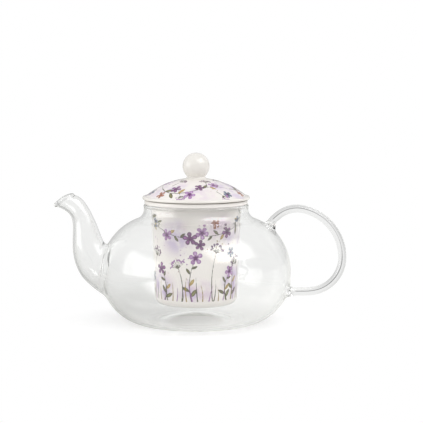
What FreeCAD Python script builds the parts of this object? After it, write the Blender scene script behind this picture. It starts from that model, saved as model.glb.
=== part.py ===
import FreeCAD, Part
import os
import re
import Sketcher

# A glass teapot with a porcelain infuser that hangs in its neck and a porcelain lid.
# Millimetres, +Z up. The origin is on the pot's axis, in the plane that the pot stands on.
# The spout points along -X and the handle along +X.

# Driving sizes, in millimetres and degrees
SIZES = {
    # Blown glass vessel: a flat standing ring, a round heel, a straight band at the belly, a round shoulder
    "belly_radius": 69.6,
    "heel_radius": 35.0,
    "band_height": 4.9,
    "shoulder_radius": 39.8,
    "neck_radius": 38.4,
    "neck_rise": 8.4,
    "neck_fillet": 7.8,
    "glass_wall": 1.9,
    "rim_bead_radius": 1.15,
    "standing_ring_width": 9.0,
    "punt_height": 5.5,
    # Spout: the circles that its tube passes through. A reach is counted outwards from the belly, a rise
    # upwards from the belly's middle, and a slope upwards from the level.
    "spout_root_reach": -21.6,
    "spout_root_rise": -10.5,
    "spout_root_slope": 22.0,
    "spout_root_radius": 18.0,
    "spout_elbow_reach": 5.0,
    "spout_elbow_rise": 5.6,
    "spout_elbow_slope": 50.0,
    "spout_elbow_radius": 12.8,
    "spout_bend_reach": 9.8,
    "spout_bend_rise": 17.6,
    "spout_bend_slope": 68.0,
    "spout_bend_radius": 11.8,
    "spout_waist_reach": 11.3,
    "spout_waist_rise": 27.8,
    "spout_waist_slope": 80.0,
    "spout_waist_radius": 10.0,
    "spout_throat_reach": 15.9,
    "spout_throat_rise": 44.6,
    "spout_throat_slope": 66.0,
    "spout_throat_radius": 7.2,
    "spout_mouth_reach": 26.8,
    "spout_mouth_rise": 53.6,
    "spout_mouth_slope": 57.0,
    "spout_mouth_radius": 7.6,
    "spout_wall": 1.8,
    "lip_bead_radius": 1.15,
    # Handle: a bent glass rod, and the gathers of glass that seal its two ends to the vessel
    "handle_rod_radius": 3.0,
    "handle_reach": 38.5,
    "handle_rise": 11.0,
    "handle_back_radius": 37.0,
    "handle_bottom_radius": 25.2,
    "handle_top_angle": 78.0,
    "handle_root_angle": 52.5,
    "upper_seal_height": 2.2,
    "upper_seal_flare": 2.0,
    "lower_seal_height": 2.4,
    "lower_seal_flare": 1.1,
    "seal_shoulder": 0.4,
    # Infuser: a tapered porcelain cup whose flange lies on the glass rim
    "infuser_neck_gap": 3.5,
    "infuser_taper": 2.6,
    "infuser_wall": 2.8,
    "infuser_floor": 3.0,
    "infuser_standoff": 7.3,
    "infuser_foot_round": 5.5,
    "infuser_floor_round": 4.0,
    "flange_setback": 0.5,
    "flange_thickness": 3.5,
    "flange_edge_round": 1.0,
    "flange_root_round": 2.0,
    "drain_hole_radius": 1.1,
    "drain_hole_pitch": 6.5,
    # Lid: a porcelain dome with a brim, and a skirt that keeps it in the infuser's mouth
    "lid_overhang": 1.5,
    "brim_width": 3.9,
    "brim_edge_thickness": 2.3,
    "brim_rise": 3.6,
    "brim_edge_round": 0.9,
    "dome_rise": 12.2,
    "dome_wall": 3.0,
    "skirt_depth": 8.4,
    "skirt_wall": 2.6,
    "skirt_clearance": 1.6,
    # Knob: a porcelain ball that stands on the dome's crown on a flared foot
    "knob_radius": 9.9,
    "knob_neck_radius": 6.5,
    "knob_foot_flare": 1.2,
    "knob_foot_height": 1.5,
    # Gap at rest between loose pieces
    "seat_gap": 0.1,
}

# Levels and radii that follow from the driving sizes
BELLY_MIDDLE = "(heel_radius + band_height / 2)"
SHOULDER_X = "(belly_radius - shoulder_radius)"
SHOULDER_Z = "(heel_radius + band_height)"
NECK_CORNER_ANGLE = f"acos((neck_radius - {SHOULDER_X}) / shoulder_radius)"
NECK_CORNER_Z = f"({SHOULDER_Z} + shoulder_radius * sin({NECK_CORNER_ANGLE}))"
RIM_Z = f"({SHOULDER_Z} + shoulder_radius + neck_rise)"
PUNT_RADIUS = "(belly_radius - heel_radius - standing_ring_width)"
PUNT_SPHERE = f"(({PUNT_RADIUS}^2 + punt_height^2) / (2 * punt_height))"

FLANGE_RADIUS = "(neck_radius - flange_setback)"
FLANGE_UNDERSIDE = f"({RIM_Z} + seat_gap)"
FLANGE_TOP = f"({FLANGE_UNDERSIDE} + flange_thickness)"
INFUSER_RADIUS = "(neck_radius - glass_wall - infuser_neck_gap)"
INFUSER_FOOT_RADIUS = f"({INFUSER_RADIUS} - infuser_taper)"
INFUSER_BOTTOM = "(punt_height + glass_wall + infuser_standoff)"
INFUSER_BORE = f"({INFUSER_RADIUS} - infuser_wall)"
INFUSER_FLOOR_RADIUS = f"({INFUSER_FOOT_RADIUS} - infuser_wall)"
INFUSER_FLOOR_Z = f"({INFUSER_BOTTOM} + infuser_floor)"

LID_UNDERSIDE = f"({FLANGE_TOP} + seat_gap)"
BRIM_RADIUS = f"({FLANGE_RADIUS} + lid_overhang)"
DOME_FOOT_RADIUS = f"({BRIM_RADIUS} - brim_width)"
DOME_FOOT_Z = f"({LID_UNDERSIDE} + brim_rise)"
DOME_SPHERE = f"(({DOME_FOOT_RADIUS}^2 + dome_rise^2) / (2 * dome_rise))"
DOME_CENTRE_Z = f"({DOME_FOOT_Z} + dome_rise - {DOME_SPHERE})"
SKIRT_OUTSIDE = f"({INFUSER_BORE} - skirt_clearance)"
SKIRT_INSIDE = f"({SKIRT_OUTSIDE} - skirt_wall)"
KNOB_FOOT_RADIUS = "(knob_neck_radius + knob_foot_flare)"
KNOB_SEAT_Z = f"({DOME_CENTRE_Z} + sqrt({DOME_SPHERE}^2 - {KNOB_FOOT_RADIUS}^2))"

# A cutting tool runs past the faces that it opens by this much
CUT_PAST = 5.0

doc = FreeCAD.newDocument("glass_teapot")
sheet = doc.addObject("Spreadsheet::Sheet", "Sizes")
for row, (alias, size) in enumerate(SIZES.items(), start=1):
    sheet.set(f"A{row}", alias.replace("_", " "))
    sheet.set(f"B{row}", str(size))
    sheet.setAlias(f"B{row}", alias)
doc.recompute()


def cells(formula):
    """Turn a formula in the words of SIZES into an expression that reads the sheet's cells."""
    def cell(word):
        return f"Sizes.{word[0]}" if word[0] in SIZES else word[0]
    return re.sub(r"[a-z][a-z_]*", cell, formula)


def value(formula):
    """The number that a formula gives with the sheet's sizes."""
    result = sheet.evalExpression(cells(formula))
    return float(getattr(result, "Value", result))


def bind(thing, **formulas):
    """Tie properties of a document object to formulas of the sheet's sizes."""
    for name, formula in formulas.items():
        thing.setExpression(name, cells(formula))


def primitive(kind, name, x="0", z="0", tilt="0", **formulas):
    """A Part object at a point of the XZ plane, its own Z axis tilted from +Z towards +X."""
    thing = doc.addObject(f"Part::{kind}", name)
    bind(thing, **formulas)
    place = f"placement(vector({x}; 0; {z}); rotation(vector(0; 1; 0); {tilt}))"
    thing.setExpression("Placement", cells(place))
    return thing


def boolean(kind, name, base, tool):
    """A Part::Cut or a Part::Fuse of two document objects."""
    thing = doc.addObject(f"Part::{kind}", name)
    thing.Base = base
    thing.Tool = tool
    return thing


def sketch_on(body, role, name):
    """An empty sketch on one of a body's own origin planes."""
    sketch = body.newObject("Sketcher::SketchObject", name)
    plane = next(feature for feature in body.Origin.OriginFeatures if feature.Role == role)
    sketch.AttachmentSupport = [(plane, "")]
    sketch.MapMode = "FlatFace"
    return sketch


# How a sketch numbers an edge's points, its own axes and its origin
START, END, CENTRE = range(1, 4)
LEVEL_AXIS, UPRIGHT_AXIS = range(-1, -3, -1)
ORIGIN = (LEVEL_AXIS, START)


def fix_point(sketch, edge, point, x, y):
    """Hold one point of a sketch edge at a place that follows the sheet."""
    if x == "0":
        sketch.addConstraint(Sketcher.Constraint("PointOnObject", edge, point, UPRIGHT_AXIS))
    else:
        index = sketch.addConstraint(Sketcher.Constraint("DistanceX", *ORIGIN, edge, point, value(x)))
        sketch.setExpression(f"Constraints[{index}]", cells(x))
    index = sketch.addConstraint(Sketcher.Constraint("DistanceY", *ORIGIN, edge, point, value(y)))
    sketch.setExpression(f"Constraints[{index}]", cells(y))


def add_edge(sketch, start, end, radius, bulge):
    """A straight edge, or with a radius an arc that bulges to the right (1) or left (-1) of its way.

    Returns the edge's number and the numbers of its first and last points along the way.
    """
    first = FreeCAD.Vector(value(start[0]), value(start[1]), 0)
    last = FreeCAD.Vector(value(end[0]), value(end[1]), 0)
    if radius is None:
        return sketch.addGeometry(Part.LineSegment(first, last)), START, END
    way = last - first
    left = FreeCAD.Vector(-way.y, way.x, 0).normalize()
    size = value(radius)
    centre = (first + last) * 0.5 + left * (bulge * (size**2 - way.Length**2 / 4) ** 0.5)
    circle = Part.Circle(centre, FreeCAD.Vector(0, 0, 1), size)
    begin, finish = (first, last) if bulge > 0 else (last, first)
    arc = Part.ArcOfCircle(circle, circle.parameter(begin), circle.parameter(finish))
    edge = sketch.addGeometry(arc)
    index = sketch.addConstraint(Sketcher.Constraint("Radius", edge, size))
    sketch.setExpression(f"Constraints[{index}]", cells(radius))
    return (edge, START, END) if bulge > 0 else (edge, END, START)


def add_circle(sketch, radius, height):
    """A circle whose middle is on the sketch's upright axis."""
    middle = FreeCAD.Vector(0, value(height), 0)
    edge = sketch.addGeometry(Part.Circle(middle, FreeCAD.Vector(0, 0, 1), value(radius)))
    index = sketch.addConstraint(Sketcher.Constraint("Radius", edge, value(radius)))
    sketch.setExpression(f"Constraints[{index}]", cells(radius))
    fix_point(sketch, edge, CENTRE, "0", height)


def draw(body, name, corners, closed=True):
    """A sketch in the XZ plane through corners given as (x, z), (x, z, radius) or (x, z, radius, bulge).

    A radius makes the edge from that corner to the next one an arc.
    """
    sketch = sketch_on(body, "XZ_Plane", name)
    count = len(corners) if closed else len(corners) - 1
    edges = []
    for number in range(count):
        corner = corners[number]
        following = corners[(number + 1) % len(corners)]
        radius = corner[2] if len(corner) > 2 else None
        bulge = corner[3] if len(corner) > 3 else 1
        edges.append(add_edge(sketch, corner, following, radius, bulge))
    for number, (edge, first, last) in enumerate(edges):
        fix_point(sketch, edge, first, *corners[number][:2])
        if closed or number + 1 < count:
            next_edge, next_first, _ = edges[(number + 1) % count]
            joint = Sketcher.Constraint("Coincident", edge, last, next_edge, next_first)
            sketch.addConstraint(joint)
    if not closed:
        edge, _, last = edges[-1]
        fix_point(sketch, edge, last, *corners[-1][:2])
    doc.recompute()
    return sketch


def turn(body, kind, sketch):
    """Turn a sketch a full circle about the pot's axis, as a Revolution or a Groove."""
    feature = body.newObject(f"PartDesign::{kind}", f"{sketch.Name}_turned")
    feature.Profile = sketch
    feature.ReferenceAxis = (sketch, ["V_Axis"])
    feature.Angle = 360
    doc.recompute()
    return feature


def round_rings(body, rings, radius):
    """Round the ring-shaped edges of a body at the given (radius, height) places."""
    near = 0.01
    base = body.Tip
    names = []
    for number, edge in enumerate(base.Shape.Edges, start=1):
        if edge.Degenerated or not isinstance(edge.Curve, Part.Circle):
            continue
        for ring_radius, ring_z in rings:
            same_radius = abs(edge.Curve.Radius - value(ring_radius)) < near
            same_height = abs(edge.Curve.Center.z - value(ring_z)) < near
            if same_radius and same_height:
                names.append(f"Edge{number}")
    if len(names) != len(rings):
        raise RuntimeError(f"{body.Name}: {len(names)} of {len(rings)} edges found to round")
    fillet = body.newObject("PartDesign::Fillet", f"{body.Name}_round")
    fillet.Base = (base, names)
    bind(fillet, Radius=radius)
    doc.recompute()
    return fillet


# The seam of a turned vessel lies at its side, away from the spout and the handle
UPRIGHT = FreeCAD.Vector(0, 0, 1)
SEAM_ANGLE = 90


def vessel_solid(name, inset, top, fillet):
    """The vessel's outside (inset 0) or its hollow (inset by the wall), as a solid up to a level."""
    sphere = f"({PUNT_SPHERE} + {inset})"
    ring_start = f"sqrt({sphere}^2 - ({PUNT_SPHERE} - punt_height + {inset})^2)"
    corner_angle = f"acos((neck_radius - {SHOULDER_X} - {inset}) / (shoulder_radius - {inset}))"
    corner_z = f"({SHOULDER_Z} + (shoulder_radius - {inset}) * sin({corner_angle}))"
    body = doc.addObject("PartDesign::Body", name)
    sketch = draw(body, f"{name}_outline", [
        ("0", f"punt_height + {inset}", sphere, -1),
        (ring_start, inset),
        ("belly_radius - heel_radius", inset, f"heel_radius - {inset}"),
        (f"belly_radius - {inset}", "heel_radius"),
        (f"belly_radius - {inset}", SHOULDER_Z, f"shoulder_radius - {inset}"),
        (f"neck_radius - {inset}", corner_z),
        (f"neck_radius - {inset}", top),
        ("0", top),
    ])
    turn(body, "Revolution", sketch)
    round_rings(body, [(f"neck_radius - {inset}", corner_z)], fillet)
    body.Placement = FreeCAD.Placement(FreeCAD.Vector(), FreeCAD.Rotation(UPRIGHT, SEAM_ANGLE))
    return body


# Spout: a tube through its circles, and the bore that runs from the vessel's hollow to the lip
STATIONS = ("root", "elbow", "bend", "waist", "throat", "mouth")


def spout_loft(name, inset):
    """The spout's tube (inset 0) or its bore (inset by the wall), as a solid."""
    circles = []
    for station in STATIONS:
        circles.append(primitive(
            "Circle", f"{name}_{station}",
            x=f"-(belly_radius + spout_{station}_reach)",
            z=f"{BELLY_MIDDLE} + spout_{station}_rise",
            tilt=f"spout_{station}_slope - 90",
            Radius=f"spout_{station}_radius - {inset}"))
    loft = doc.addObject("Part::Loft", name)
    loft.Sections = circles
    loft.Solid = True
    return loft


# The neck's fillet stays within the straight part of the neck below the rim
FILLET_ROOM = f"(({RIM_Z} - rim_bead_radius - {NECK_CORNER_Z}) / tan({NECK_CORNER_ANGLE} / 2))"
OUTER_FILLET = f"min(neck_fillet; {FILLET_ROOM})"

RIM_BEAD_Z = f"{RIM_Z} - rim_bead_radius"
vessel_outside = vessel_solid("vessel_outside", "0", RIM_BEAD_Z, OUTER_FILLET)
vessel_hollow = vessel_solid("vessel_hollow", "glass_wall", f"{RIM_Z} + {CUT_PAST}",
                             f"{OUTER_FILLET} + glass_wall")
spout_tube = spout_loft("spout_tube", "0")
spout_bore = spout_loft("spout_bore", "spout_wall")


def make_glass_body():
    """The vessel's wall with its fire-polished rim and the hole under the spout."""
    wall = boolean("Cut", "vessel_wall", vessel_outside, vessel_hollow)
    bead = primitive("Torus", "rim_bead", z=RIM_BEAD_Z,
                     Radius1="neck_radius - glass_wall / 2", Radius2="rim_bead_radius")
    rimmed = boolean("Fuse", "rimmed_wall", wall, bead)
    return boolean("Cut", "glass_body", rimmed, spout_bore)


def make_spout():
    """The spout's tube, cut to the vessel's outside, with a rolled lip."""
    pipe = boolean("Cut", "spout_pipe", spout_tube, spout_bore)
    fitted = boolean("Cut", "spout_fitted", pipe, vessel_outside)
    bead = primitive("Torus", "lip_bead",
                     x="-(belly_radius + spout_mouth_reach)", z=f"{BELLY_MIDDLE} + spout_mouth_rise",
                     tilt="spout_mouth_slope - 90",
                     Radius1="spout_mouth_radius - spout_wall / 2", Radius2="lip_bead_radius")
    return boolean("Fuse", "spout", fitted, bead)


# Handle: the rod's centre line, from inside the heel round to inside the shoulder
HANDLE_BACK_X = "(belly_radius + handle_reach)"
HANDLE_MIDDLE_Z = f"({BELLY_MIDDLE} + handle_rise)"
HANDLE_LOW_Z = f"({HANDLE_MIDDLE_Z} - handle_bottom_radius)"
TOP_TURN_X = f"({HANDLE_BACK_X} - handle_back_radius * (1 - cos(handle_top_angle)))"
TOP_TURN_Z = f"({HANDLE_MIDDLE_Z} + handle_back_radius * sin(handle_top_angle))"
ROOT_X = f"({SHOULDER_X} + shoulder_radius * cos(handle_root_angle))"
ROOT_Z = f"({SHOULDER_Z} + shoulder_radius * sin(handle_root_angle))"
LOW_ROOT_X = f"(belly_radius - heel_radius + sqrt(heel_radius^2 - (heel_radius - {HANDLE_LOW_Z})^2))"
ROD_SINK = "(heel_radius / 2)"
# The top bend touches the back bend where that one ends, and goes through the middle of the upper root
TOP_SPAN_X = f"({TOP_TURN_X} - {ROOT_X})"
TOP_SPAN_Z = f"({TOP_TURN_Z} - {ROOT_Z})"
TOP_SPAN_INWARDS = f"({TOP_SPAN_X} * cos(handle_top_angle) + {TOP_SPAN_Z} * sin(handle_top_angle))"
HANDLE_TOP_RADIUS = f"(({TOP_SPAN_X}^2 + {TOP_SPAN_Z}^2) / (2 * {TOP_SPAN_INWARDS}))"


def seal_gather(end, x, z, tilt):
    """A cone of glass that starts within the vessel's wall and ends on the rod, a height above the wall."""
    run = f"({end}_seal_height + glass_wall)"
    spread = f"({end}_seal_flare - seal_shoulder) * {run} / {end}_seal_height"
    return primitive("Cone", f"{end}_gather", x=x, z=z, tilt=tilt, Height=run,
                     Radius1=f"handle_rod_radius + seal_shoulder + {spread}",
                     Radius2="handle_rod_radius + seal_shoulder")


upper_gather = seal_gather(
    "upper",
    x=f"{ROOT_X} - glass_wall * cos(handle_root_angle)",
    z=f"{ROOT_Z} - glass_wall * sin(handle_root_angle)",
    tilt="90 - handle_root_angle")
lower_gather = seal_gather("lower", x=f"{LOW_ROOT_X} - glass_wall", z=HANDLE_LOW_Z, tilt="90")


def make_handle():
    """The bent rod, cut to the gathers of glass that hold its two ends."""
    rod = doc.addObject("PartDesign::Body", "handle_rod")
    path = draw(rod, "handle_path", [
        (f"belly_radius - {ROD_SINK}", HANDLE_LOW_Z),
        (f"{HANDLE_BACK_X} - handle_bottom_radius", HANDLE_LOW_Z, "handle_bottom_radius"),
        (HANDLE_BACK_X, HANDLE_MIDDLE_Z, "handle_back_radius"),
        (TOP_TURN_X, TOP_TURN_Z, HANDLE_TOP_RADIUS),
        (ROOT_X, ROOT_Z),
    ], closed=False)
    section = sketch_on(rod, "YZ_Plane", "handle_section")
    section.setExpression("AttachmentOffset.Base.z", cells(f"belly_radius - {ROD_SINK}"))
    add_circle(section, "handle_rod_radius", HANDLE_LOW_Z)
    doc.recompute()
    pipe = rod.newObject("PartDesign::AdditivePipe", "handle_pipe")
    pipe.Profile = section
    pipe.Spine = (path, [f"Edge{number + 1}" for number in range(path.GeometryCount)])
    doc.recompute()
    above = boolean("Cut", "handle_above_seal", rod, upper_gather)
    between = boolean("Cut", "handle_between_seals", above, lower_gather)
    return boolean("Cut", "handle", between, vessel_outside)


def make_infuser():
    """The cup, turned to shape and hollowed, with rings of drain holes in its floor."""
    body = doc.addObject("PartDesign::Body", "infuser")
    turn(body, "Revolution", draw(body, "infuser_outline", [
        ("0", INFUSER_BOTTOM),
        (INFUSER_FOOT_RADIUS, INFUSER_BOTTOM),
        (INFUSER_RADIUS, FLANGE_UNDERSIDE),
        (FLANGE_RADIUS, FLANGE_UNDERSIDE),
        (FLANGE_RADIUS, FLANGE_TOP),
        ("0", FLANGE_TOP),
    ]))
    whole = body.Shape.Volume
    turn(body, "Groove", draw(body, "infuser_hollow", [
        ("0", INFUSER_FLOOR_Z),
        (INFUSER_FLOOR_RADIUS, INFUSER_FLOOR_Z),
        (INFUSER_BORE, FLANGE_TOP),
        ("0", FLANGE_TOP),
    ]))
    if body.Shape.Volume >= whole:
        raise RuntimeError("the infuser's hollow cut nothing")
    round_rings(body, [(INFUSER_FOOT_RADIUS, INFUSER_BOTTOM)], "infuser_foot_round")
    round_rings(body, [(INFUSER_FLOOR_RADIUS, INFUSER_FLOOR_Z)], "infuser_floor_round")
    round_rings(body, [(INFUSER_RADIUS, FLANGE_UNDERSIDE)], "flange_root_round")
    round_rings(body, [(FLANGE_RADIUS, FLANGE_UNDERSIDE), (FLANGE_RADIUS, FLANGE_TOP),
                       (INFUSER_BORE, FLANGE_TOP)], "flange_edge_round")
    flat_floor = value(f"{INFUSER_FLOOR_RADIUS} - infuser_floor_round - drain_hole_radius")
    for ring in range(1 + int(flat_floor / value("drain_hole_pitch"))):
        drill_ring(body, ring)
    return body


def drill_ring(body, ring):
    """One ring of drain holes: one in the middle, six round it, twelve round those and so on."""
    before = body.Shape.Volume
    sketch = sketch_on(body, "XY_Plane", f"drain_ring_{ring}")
    add_circle(sketch, "drain_hole_radius", f"drain_hole_pitch * {ring}")
    pocket = body.newObject("PartDesign::Pocket", f"drain_hole_{ring}")
    pocket.Profile = sketch
    pocket.Type = "Length"
    bind(pocket, Length=f"{INFUSER_FLOOR_Z} + {CUT_PAST}")
    pocket.Reversed = True
    doc.recompute()
    if ring > 0:
        pattern = body.newObject("PartDesign::PolarPattern", f"drain_pattern_{ring}")
        pattern.Originals = [pocket]
        pattern.Axis = (sketch, ["N_Axis"])
        pattern.Angle = 360
        pattern.Occurrences = 6 * ring
        body.Tip = pattern
        doc.recompute()
    if body.Shape.Volume >= before:
        raise RuntimeError(f"drain ring {ring} cut nothing")


def make_lid():
    """The dome with its brim, its skirt and the flat on its crown that the knob stands on."""
    body = doc.addObject("PartDesign::Body", "lid")
    inner_sphere = f"({DOME_SPHERE} - dome_wall)"
    inner_foot_z = f"{DOME_CENTRE_Z} + sqrt({inner_sphere}^2 - {SKIRT_INSIDE}^2)"
    turn(body, "Revolution", draw(body, "lid_outline", [
        ("0", f"{DOME_CENTRE_Z} + {inner_sphere}", inner_sphere, -1),
        (SKIRT_INSIDE, inner_foot_z),
        (SKIRT_INSIDE, f"{LID_UNDERSIDE} - skirt_depth"),
        (SKIRT_OUTSIDE, f"{LID_UNDERSIDE} - skirt_depth"),
        (SKIRT_OUTSIDE, LID_UNDERSIDE),
        (BRIM_RADIUS, LID_UNDERSIDE),
        (BRIM_RADIUS, f"{LID_UNDERSIDE} + brim_edge_thickness"),
        (DOME_FOOT_RADIUS, DOME_FOOT_Z, DOME_SPHERE),
        (KNOB_FOOT_RADIUS, KNOB_SEAT_Z),
        ("0", KNOB_SEAT_Z),
    ]))
    round_rings(body, [(BRIM_RADIUS, LID_UNDERSIDE),
                       (BRIM_RADIUS, f"{LID_UNDERSIDE} + brim_edge_thickness"),
                       (SKIRT_INSIDE, f"{LID_UNDERSIDE} - skirt_depth"),
                       (SKIRT_OUTSIDE, f"{LID_UNDERSIDE} - skirt_depth")], "brim_edge_round")
    return body


def make_lid_knob():
    """A ball, cut flat where it has the neck's radius, on a flared foot."""
    neck_angle = "acos(knob_neck_radius / knob_radius)"
    ball = primitive("Sphere", "knob_ball",
                     z=f"{KNOB_SEAT_Z} + knob_foot_height + knob_radius * sin({neck_angle})",
                     Radius="knob_radius", Angle1=f"-{neck_angle}")
    foot = primitive("Cone", "knob_foot", z=KNOB_SEAT_Z, Height="knob_foot_height",
                     Radius1=KNOB_FOOT_RADIUS, Radius2="knob_neck_radius")
    return boolean("Fuse", "lid_knob", ball, foot)


parts = [
    make_glass_body(),
    make_spout(),
    make_handle(),
    boolean("Cut", "upper_handle_seal", upper_gather, vessel_outside),
    boolean("Cut", "lower_handle_seal", lower_gather, vessel_outside),
    make_infuser(),
    make_lid(),
    make_lid_knob(),
]
doc.recompute()

# Every object has to be sound before a file is written
for thing in doc.Objects:
    if "Invalid" in thing.State or "Error" in thing.State:
        raise RuntimeError(f"{thing.Name} failed: {thing.State}")
for part in parts:
    shape = part.Shape
    if shape.isNull() or not shape.isValid() or len(shape.Solids) != 1:
        raise RuntimeError(f"{part.Label} is not one sound solid")

os.makedirs("parts", exist_ok=True)
for part in parts:
    part.Shape.exportStep(f"parts/{part.Label}.step")
    box = part.Shape.optimalBoundingBox()
    print(f"{part.Label}: {part.Shape.Volume / 1000:.2f} cm3, "
          f"x {box.XMin:.1f} to {box.XMax:.1f}, y {box.YMin:.1f} to {box.YMax:.1f}, "
          f"z {box.ZMin:.1f} to {box.ZMax:.1f}")
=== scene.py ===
# %% [markdown]
# # A glass teapot with a porcelain infuser
# This lesson dresses a teapot whose construction is already fixed: a blown glass pot, a porcelain cup
# with drain holes that hangs in its neck, and a porcelain lid with a ball knob. The frame brings the
# pieces at their real size. We rebuild their skins with modelling tools and give them their finish.

# %% Load the frame
import math

import bmesh
import bpy
import numpy as np
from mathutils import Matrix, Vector


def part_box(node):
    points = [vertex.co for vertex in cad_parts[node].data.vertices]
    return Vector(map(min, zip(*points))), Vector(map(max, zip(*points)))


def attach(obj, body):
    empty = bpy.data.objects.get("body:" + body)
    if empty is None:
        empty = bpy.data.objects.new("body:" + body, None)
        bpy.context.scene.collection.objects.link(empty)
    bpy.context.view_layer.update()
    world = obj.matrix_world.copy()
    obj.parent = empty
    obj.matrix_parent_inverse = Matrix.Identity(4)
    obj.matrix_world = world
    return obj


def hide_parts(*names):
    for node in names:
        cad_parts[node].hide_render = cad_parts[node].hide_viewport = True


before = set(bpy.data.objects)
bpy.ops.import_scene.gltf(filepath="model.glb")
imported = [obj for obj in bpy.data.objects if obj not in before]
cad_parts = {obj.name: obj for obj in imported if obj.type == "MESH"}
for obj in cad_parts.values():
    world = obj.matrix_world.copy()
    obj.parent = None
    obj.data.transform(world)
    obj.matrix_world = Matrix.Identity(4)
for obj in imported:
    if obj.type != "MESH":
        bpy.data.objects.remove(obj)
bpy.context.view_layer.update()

MM = 0.001
print("nodes:", ", ".join(sorted(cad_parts)))

# %% [markdown]
# ## The camera
# The pot was photographed with a long lens from a little above its lid. A long lens keeps the rims
# nearly flat ellipses. The camera looks at a point beside the axis, because the pot stands left of the
# picture's middle, and that way no lens shift is needed.

# %% Camera
CAMERA_PLACE = Vector((11.3, -1060, 187.5)) * MM
CAMERA_AIM = Vector((11.3, 0, 82.6)) * MM
LENS = 123.3
NEAREST_SEEN = 0.01

camera_data = bpy.data.cameras.new("camera")
camera_data.lens = LENS
camera_data.clip_start = NEAREST_SEEN
camera = bpy.data.objects.new("camera", camera_data)
camera.location = CAMERA_PLACE
camera.rotation_euler = (CAMERA_AIM - CAMERA_PLACE).to_track_quat("-Z", "Y").to_euler()
bpy.context.scene.collection.objects.link(camera)
bpy.context.scene.camera = camera
print("camera looks down by %.1f degrees" % (90 - math.degrees(camera.rotation_euler.x)))

# %% [markdown]
# ## Small helpers for turned pieces
# Everything here except the spout and the handle is turned: a potter's or glass blower's outline that
# goes once round the axis. We draw the outline by pulling one corner along, point by point, and spin it.
# An operator acts on whatever is selected, so each piece starts with nothing selected.

# %% Turning an outline
WELD = 1e-6
SLICES = 8


def arc(centre, radius, angles):
    """Points on an arc, for angles in degrees that count up from the level."""
    turns = [math.radians(angle) for angle in angles]
    return [(centre[0] + radius * math.cos(t), centre[1] + radius * math.sin(t)) for t in turns]


def turned(name, outline, steps):
    """A piece made by pulling a corner along an outline of radii and heights, and spinning it.

    One of eight slices is spun, and then doubled three times."""
    bpy.ops.object.select_all(action="DESELECT")
    bpy.ops.mesh.primitive_plane_add(size=MM)
    piece = bpy.context.object
    piece.name = piece.data.name = name
    bpy.ops.object.mode_set(mode="EDIT")
    bpy.ops.mesh.select_mode(type="VERT")
    bpy.ops.mesh.merge(type="CENTER")
    bpy.ops.transform.translate(value=(outline[0][0] * MM, 0, outline[0][1] * MM))
    for here, there in zip(outline, outline[1:]):
        move = ((there[0] - here[0]) * MM, 0, (there[1] - here[1]) * MM)
        bpy.ops.mesh.extrude_region_move(TRANSFORM_OT_translate={"value": move})
    bpy.ops.mesh.select_all(action="SELECT")
    bpy.ops.mesh.spin(steps=steps // SLICES, angle=math.tau / SLICES, center=(0, 0, 0), axis=(0, 0, 1))
    for share in (SLICES, SLICES // 2, SLICES // 4):
        bpy.ops.mesh.select_all(action="SELECT")
        bpy.ops.mesh.duplicate()
        bpy.ops.transform.rotate(value=math.tau / share, orient_axis="Z", center_override=(0, 0, 0))
    bpy.ops.mesh.select_all(action="SELECT")
    bpy.ops.mesh.remove_doubles(threshold=WELD)
    bpy.ops.mesh.normals_make_consistent(inside=False)
    bpy.ops.object.mode_set(mode="OBJECT")
    print(name, "turned with", len(piece.data.polygons), "faces")
    return piece


# %% [markdown]
# ## The glass vessel
# The glass is blown thin and even, with a pushed-up floor, a broad belly and a fire-polished rim. It is
# one skin that runs up the outside, over the rim and down the inside. A coarse cage that is smoothed
# later keeps the curves clean, but smoothing pulls a cage inwards. So the cage's corners are solved for:
# they are the points whose smoothed curve passes through the outline.

# %% Outline of the vessel
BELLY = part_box("glass_body")[1].y / MM
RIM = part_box("glass_body")[1].z / MM
HEEL_ROUND = 35.0
BELLY_BAND = 4.9
SHOULDER_ROUND = 39.8
NECK = 38.4
NECK_ROUND = 7.8
GLASS = 1.9
RIM_BEAD = 1.15
PUNT = 25.6
PUNT_RISE = 5.5

heel_centre = (BELLY - HEEL_ROUND, HEEL_ROUND)
shoulder_centre = (BELLY - SHOULDER_ROUND, HEEL_ROUND + BELLY_BAND)
neck_x = NECK + NECK_ROUND
neck_reach = math.sqrt((SHOULDER_ROUND + NECK_ROUND) ** 2 - (neck_x - shoulder_centre[0]) ** 2)
neck_centre = (neck_x, shoulder_centre[1] + neck_reach)
punt_ball = (PUNT ** 2 + PUNT_RISE ** 2) / (2 * PUNT_RISE)

FLOOR_RADII = (0, 2.2, 7.5, 13, 18.5, 22.8)
# Radius and height of the standing ring's points
RING_POINTS = ((25.4, 0.3), (28, 0), (31.5, 0), (36, 0.02))
HEEL_ANGLES = (-78, -67, -56, -44.5, -32.5, -19.6, -7)
SHOULDER_ANGLES = (7, 20, 33, 43, 52.5, 61, 66.5)
NECK_ANGLES = (243, 225, 207, 191)
# How far below the rim the neck's straight stretch has its points
NECK_DEPTHS = (3.2, 2)
RIM_ANGLES = (0, 45, 90, 135, 180)


def wall_line(depth):
    """The vessel's outline from the middle of its floor to its neck, a depth into the glass."""
    ball = punt_ball + depth
    floor = [(r, PUNT_RISE - punt_ball + math.sqrt(ball ** 2 - r ** 2)) for r in FLOOR_RADII]
    ring = [(radius, depth + rise) for radius, rise in RING_POINTS]
    heel = arc(heel_centre, HEEL_ROUND - depth, HEEL_ANGLES)
    belly = [(BELLY - depth, HEEL_ROUND + BELLY_BAND / 2)]
    shoulder = arc(shoulder_centre, SHOULDER_ROUND - depth, SHOULDER_ANGLES)
    neck = arc(neck_centre, NECK_ROUND + depth, NECK_ANGLES)
    side = [(NECK - depth, RIM - below) for below in NECK_DEPTHS]
    return floor + ring + heel + belly + shoulder + neck + side


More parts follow.
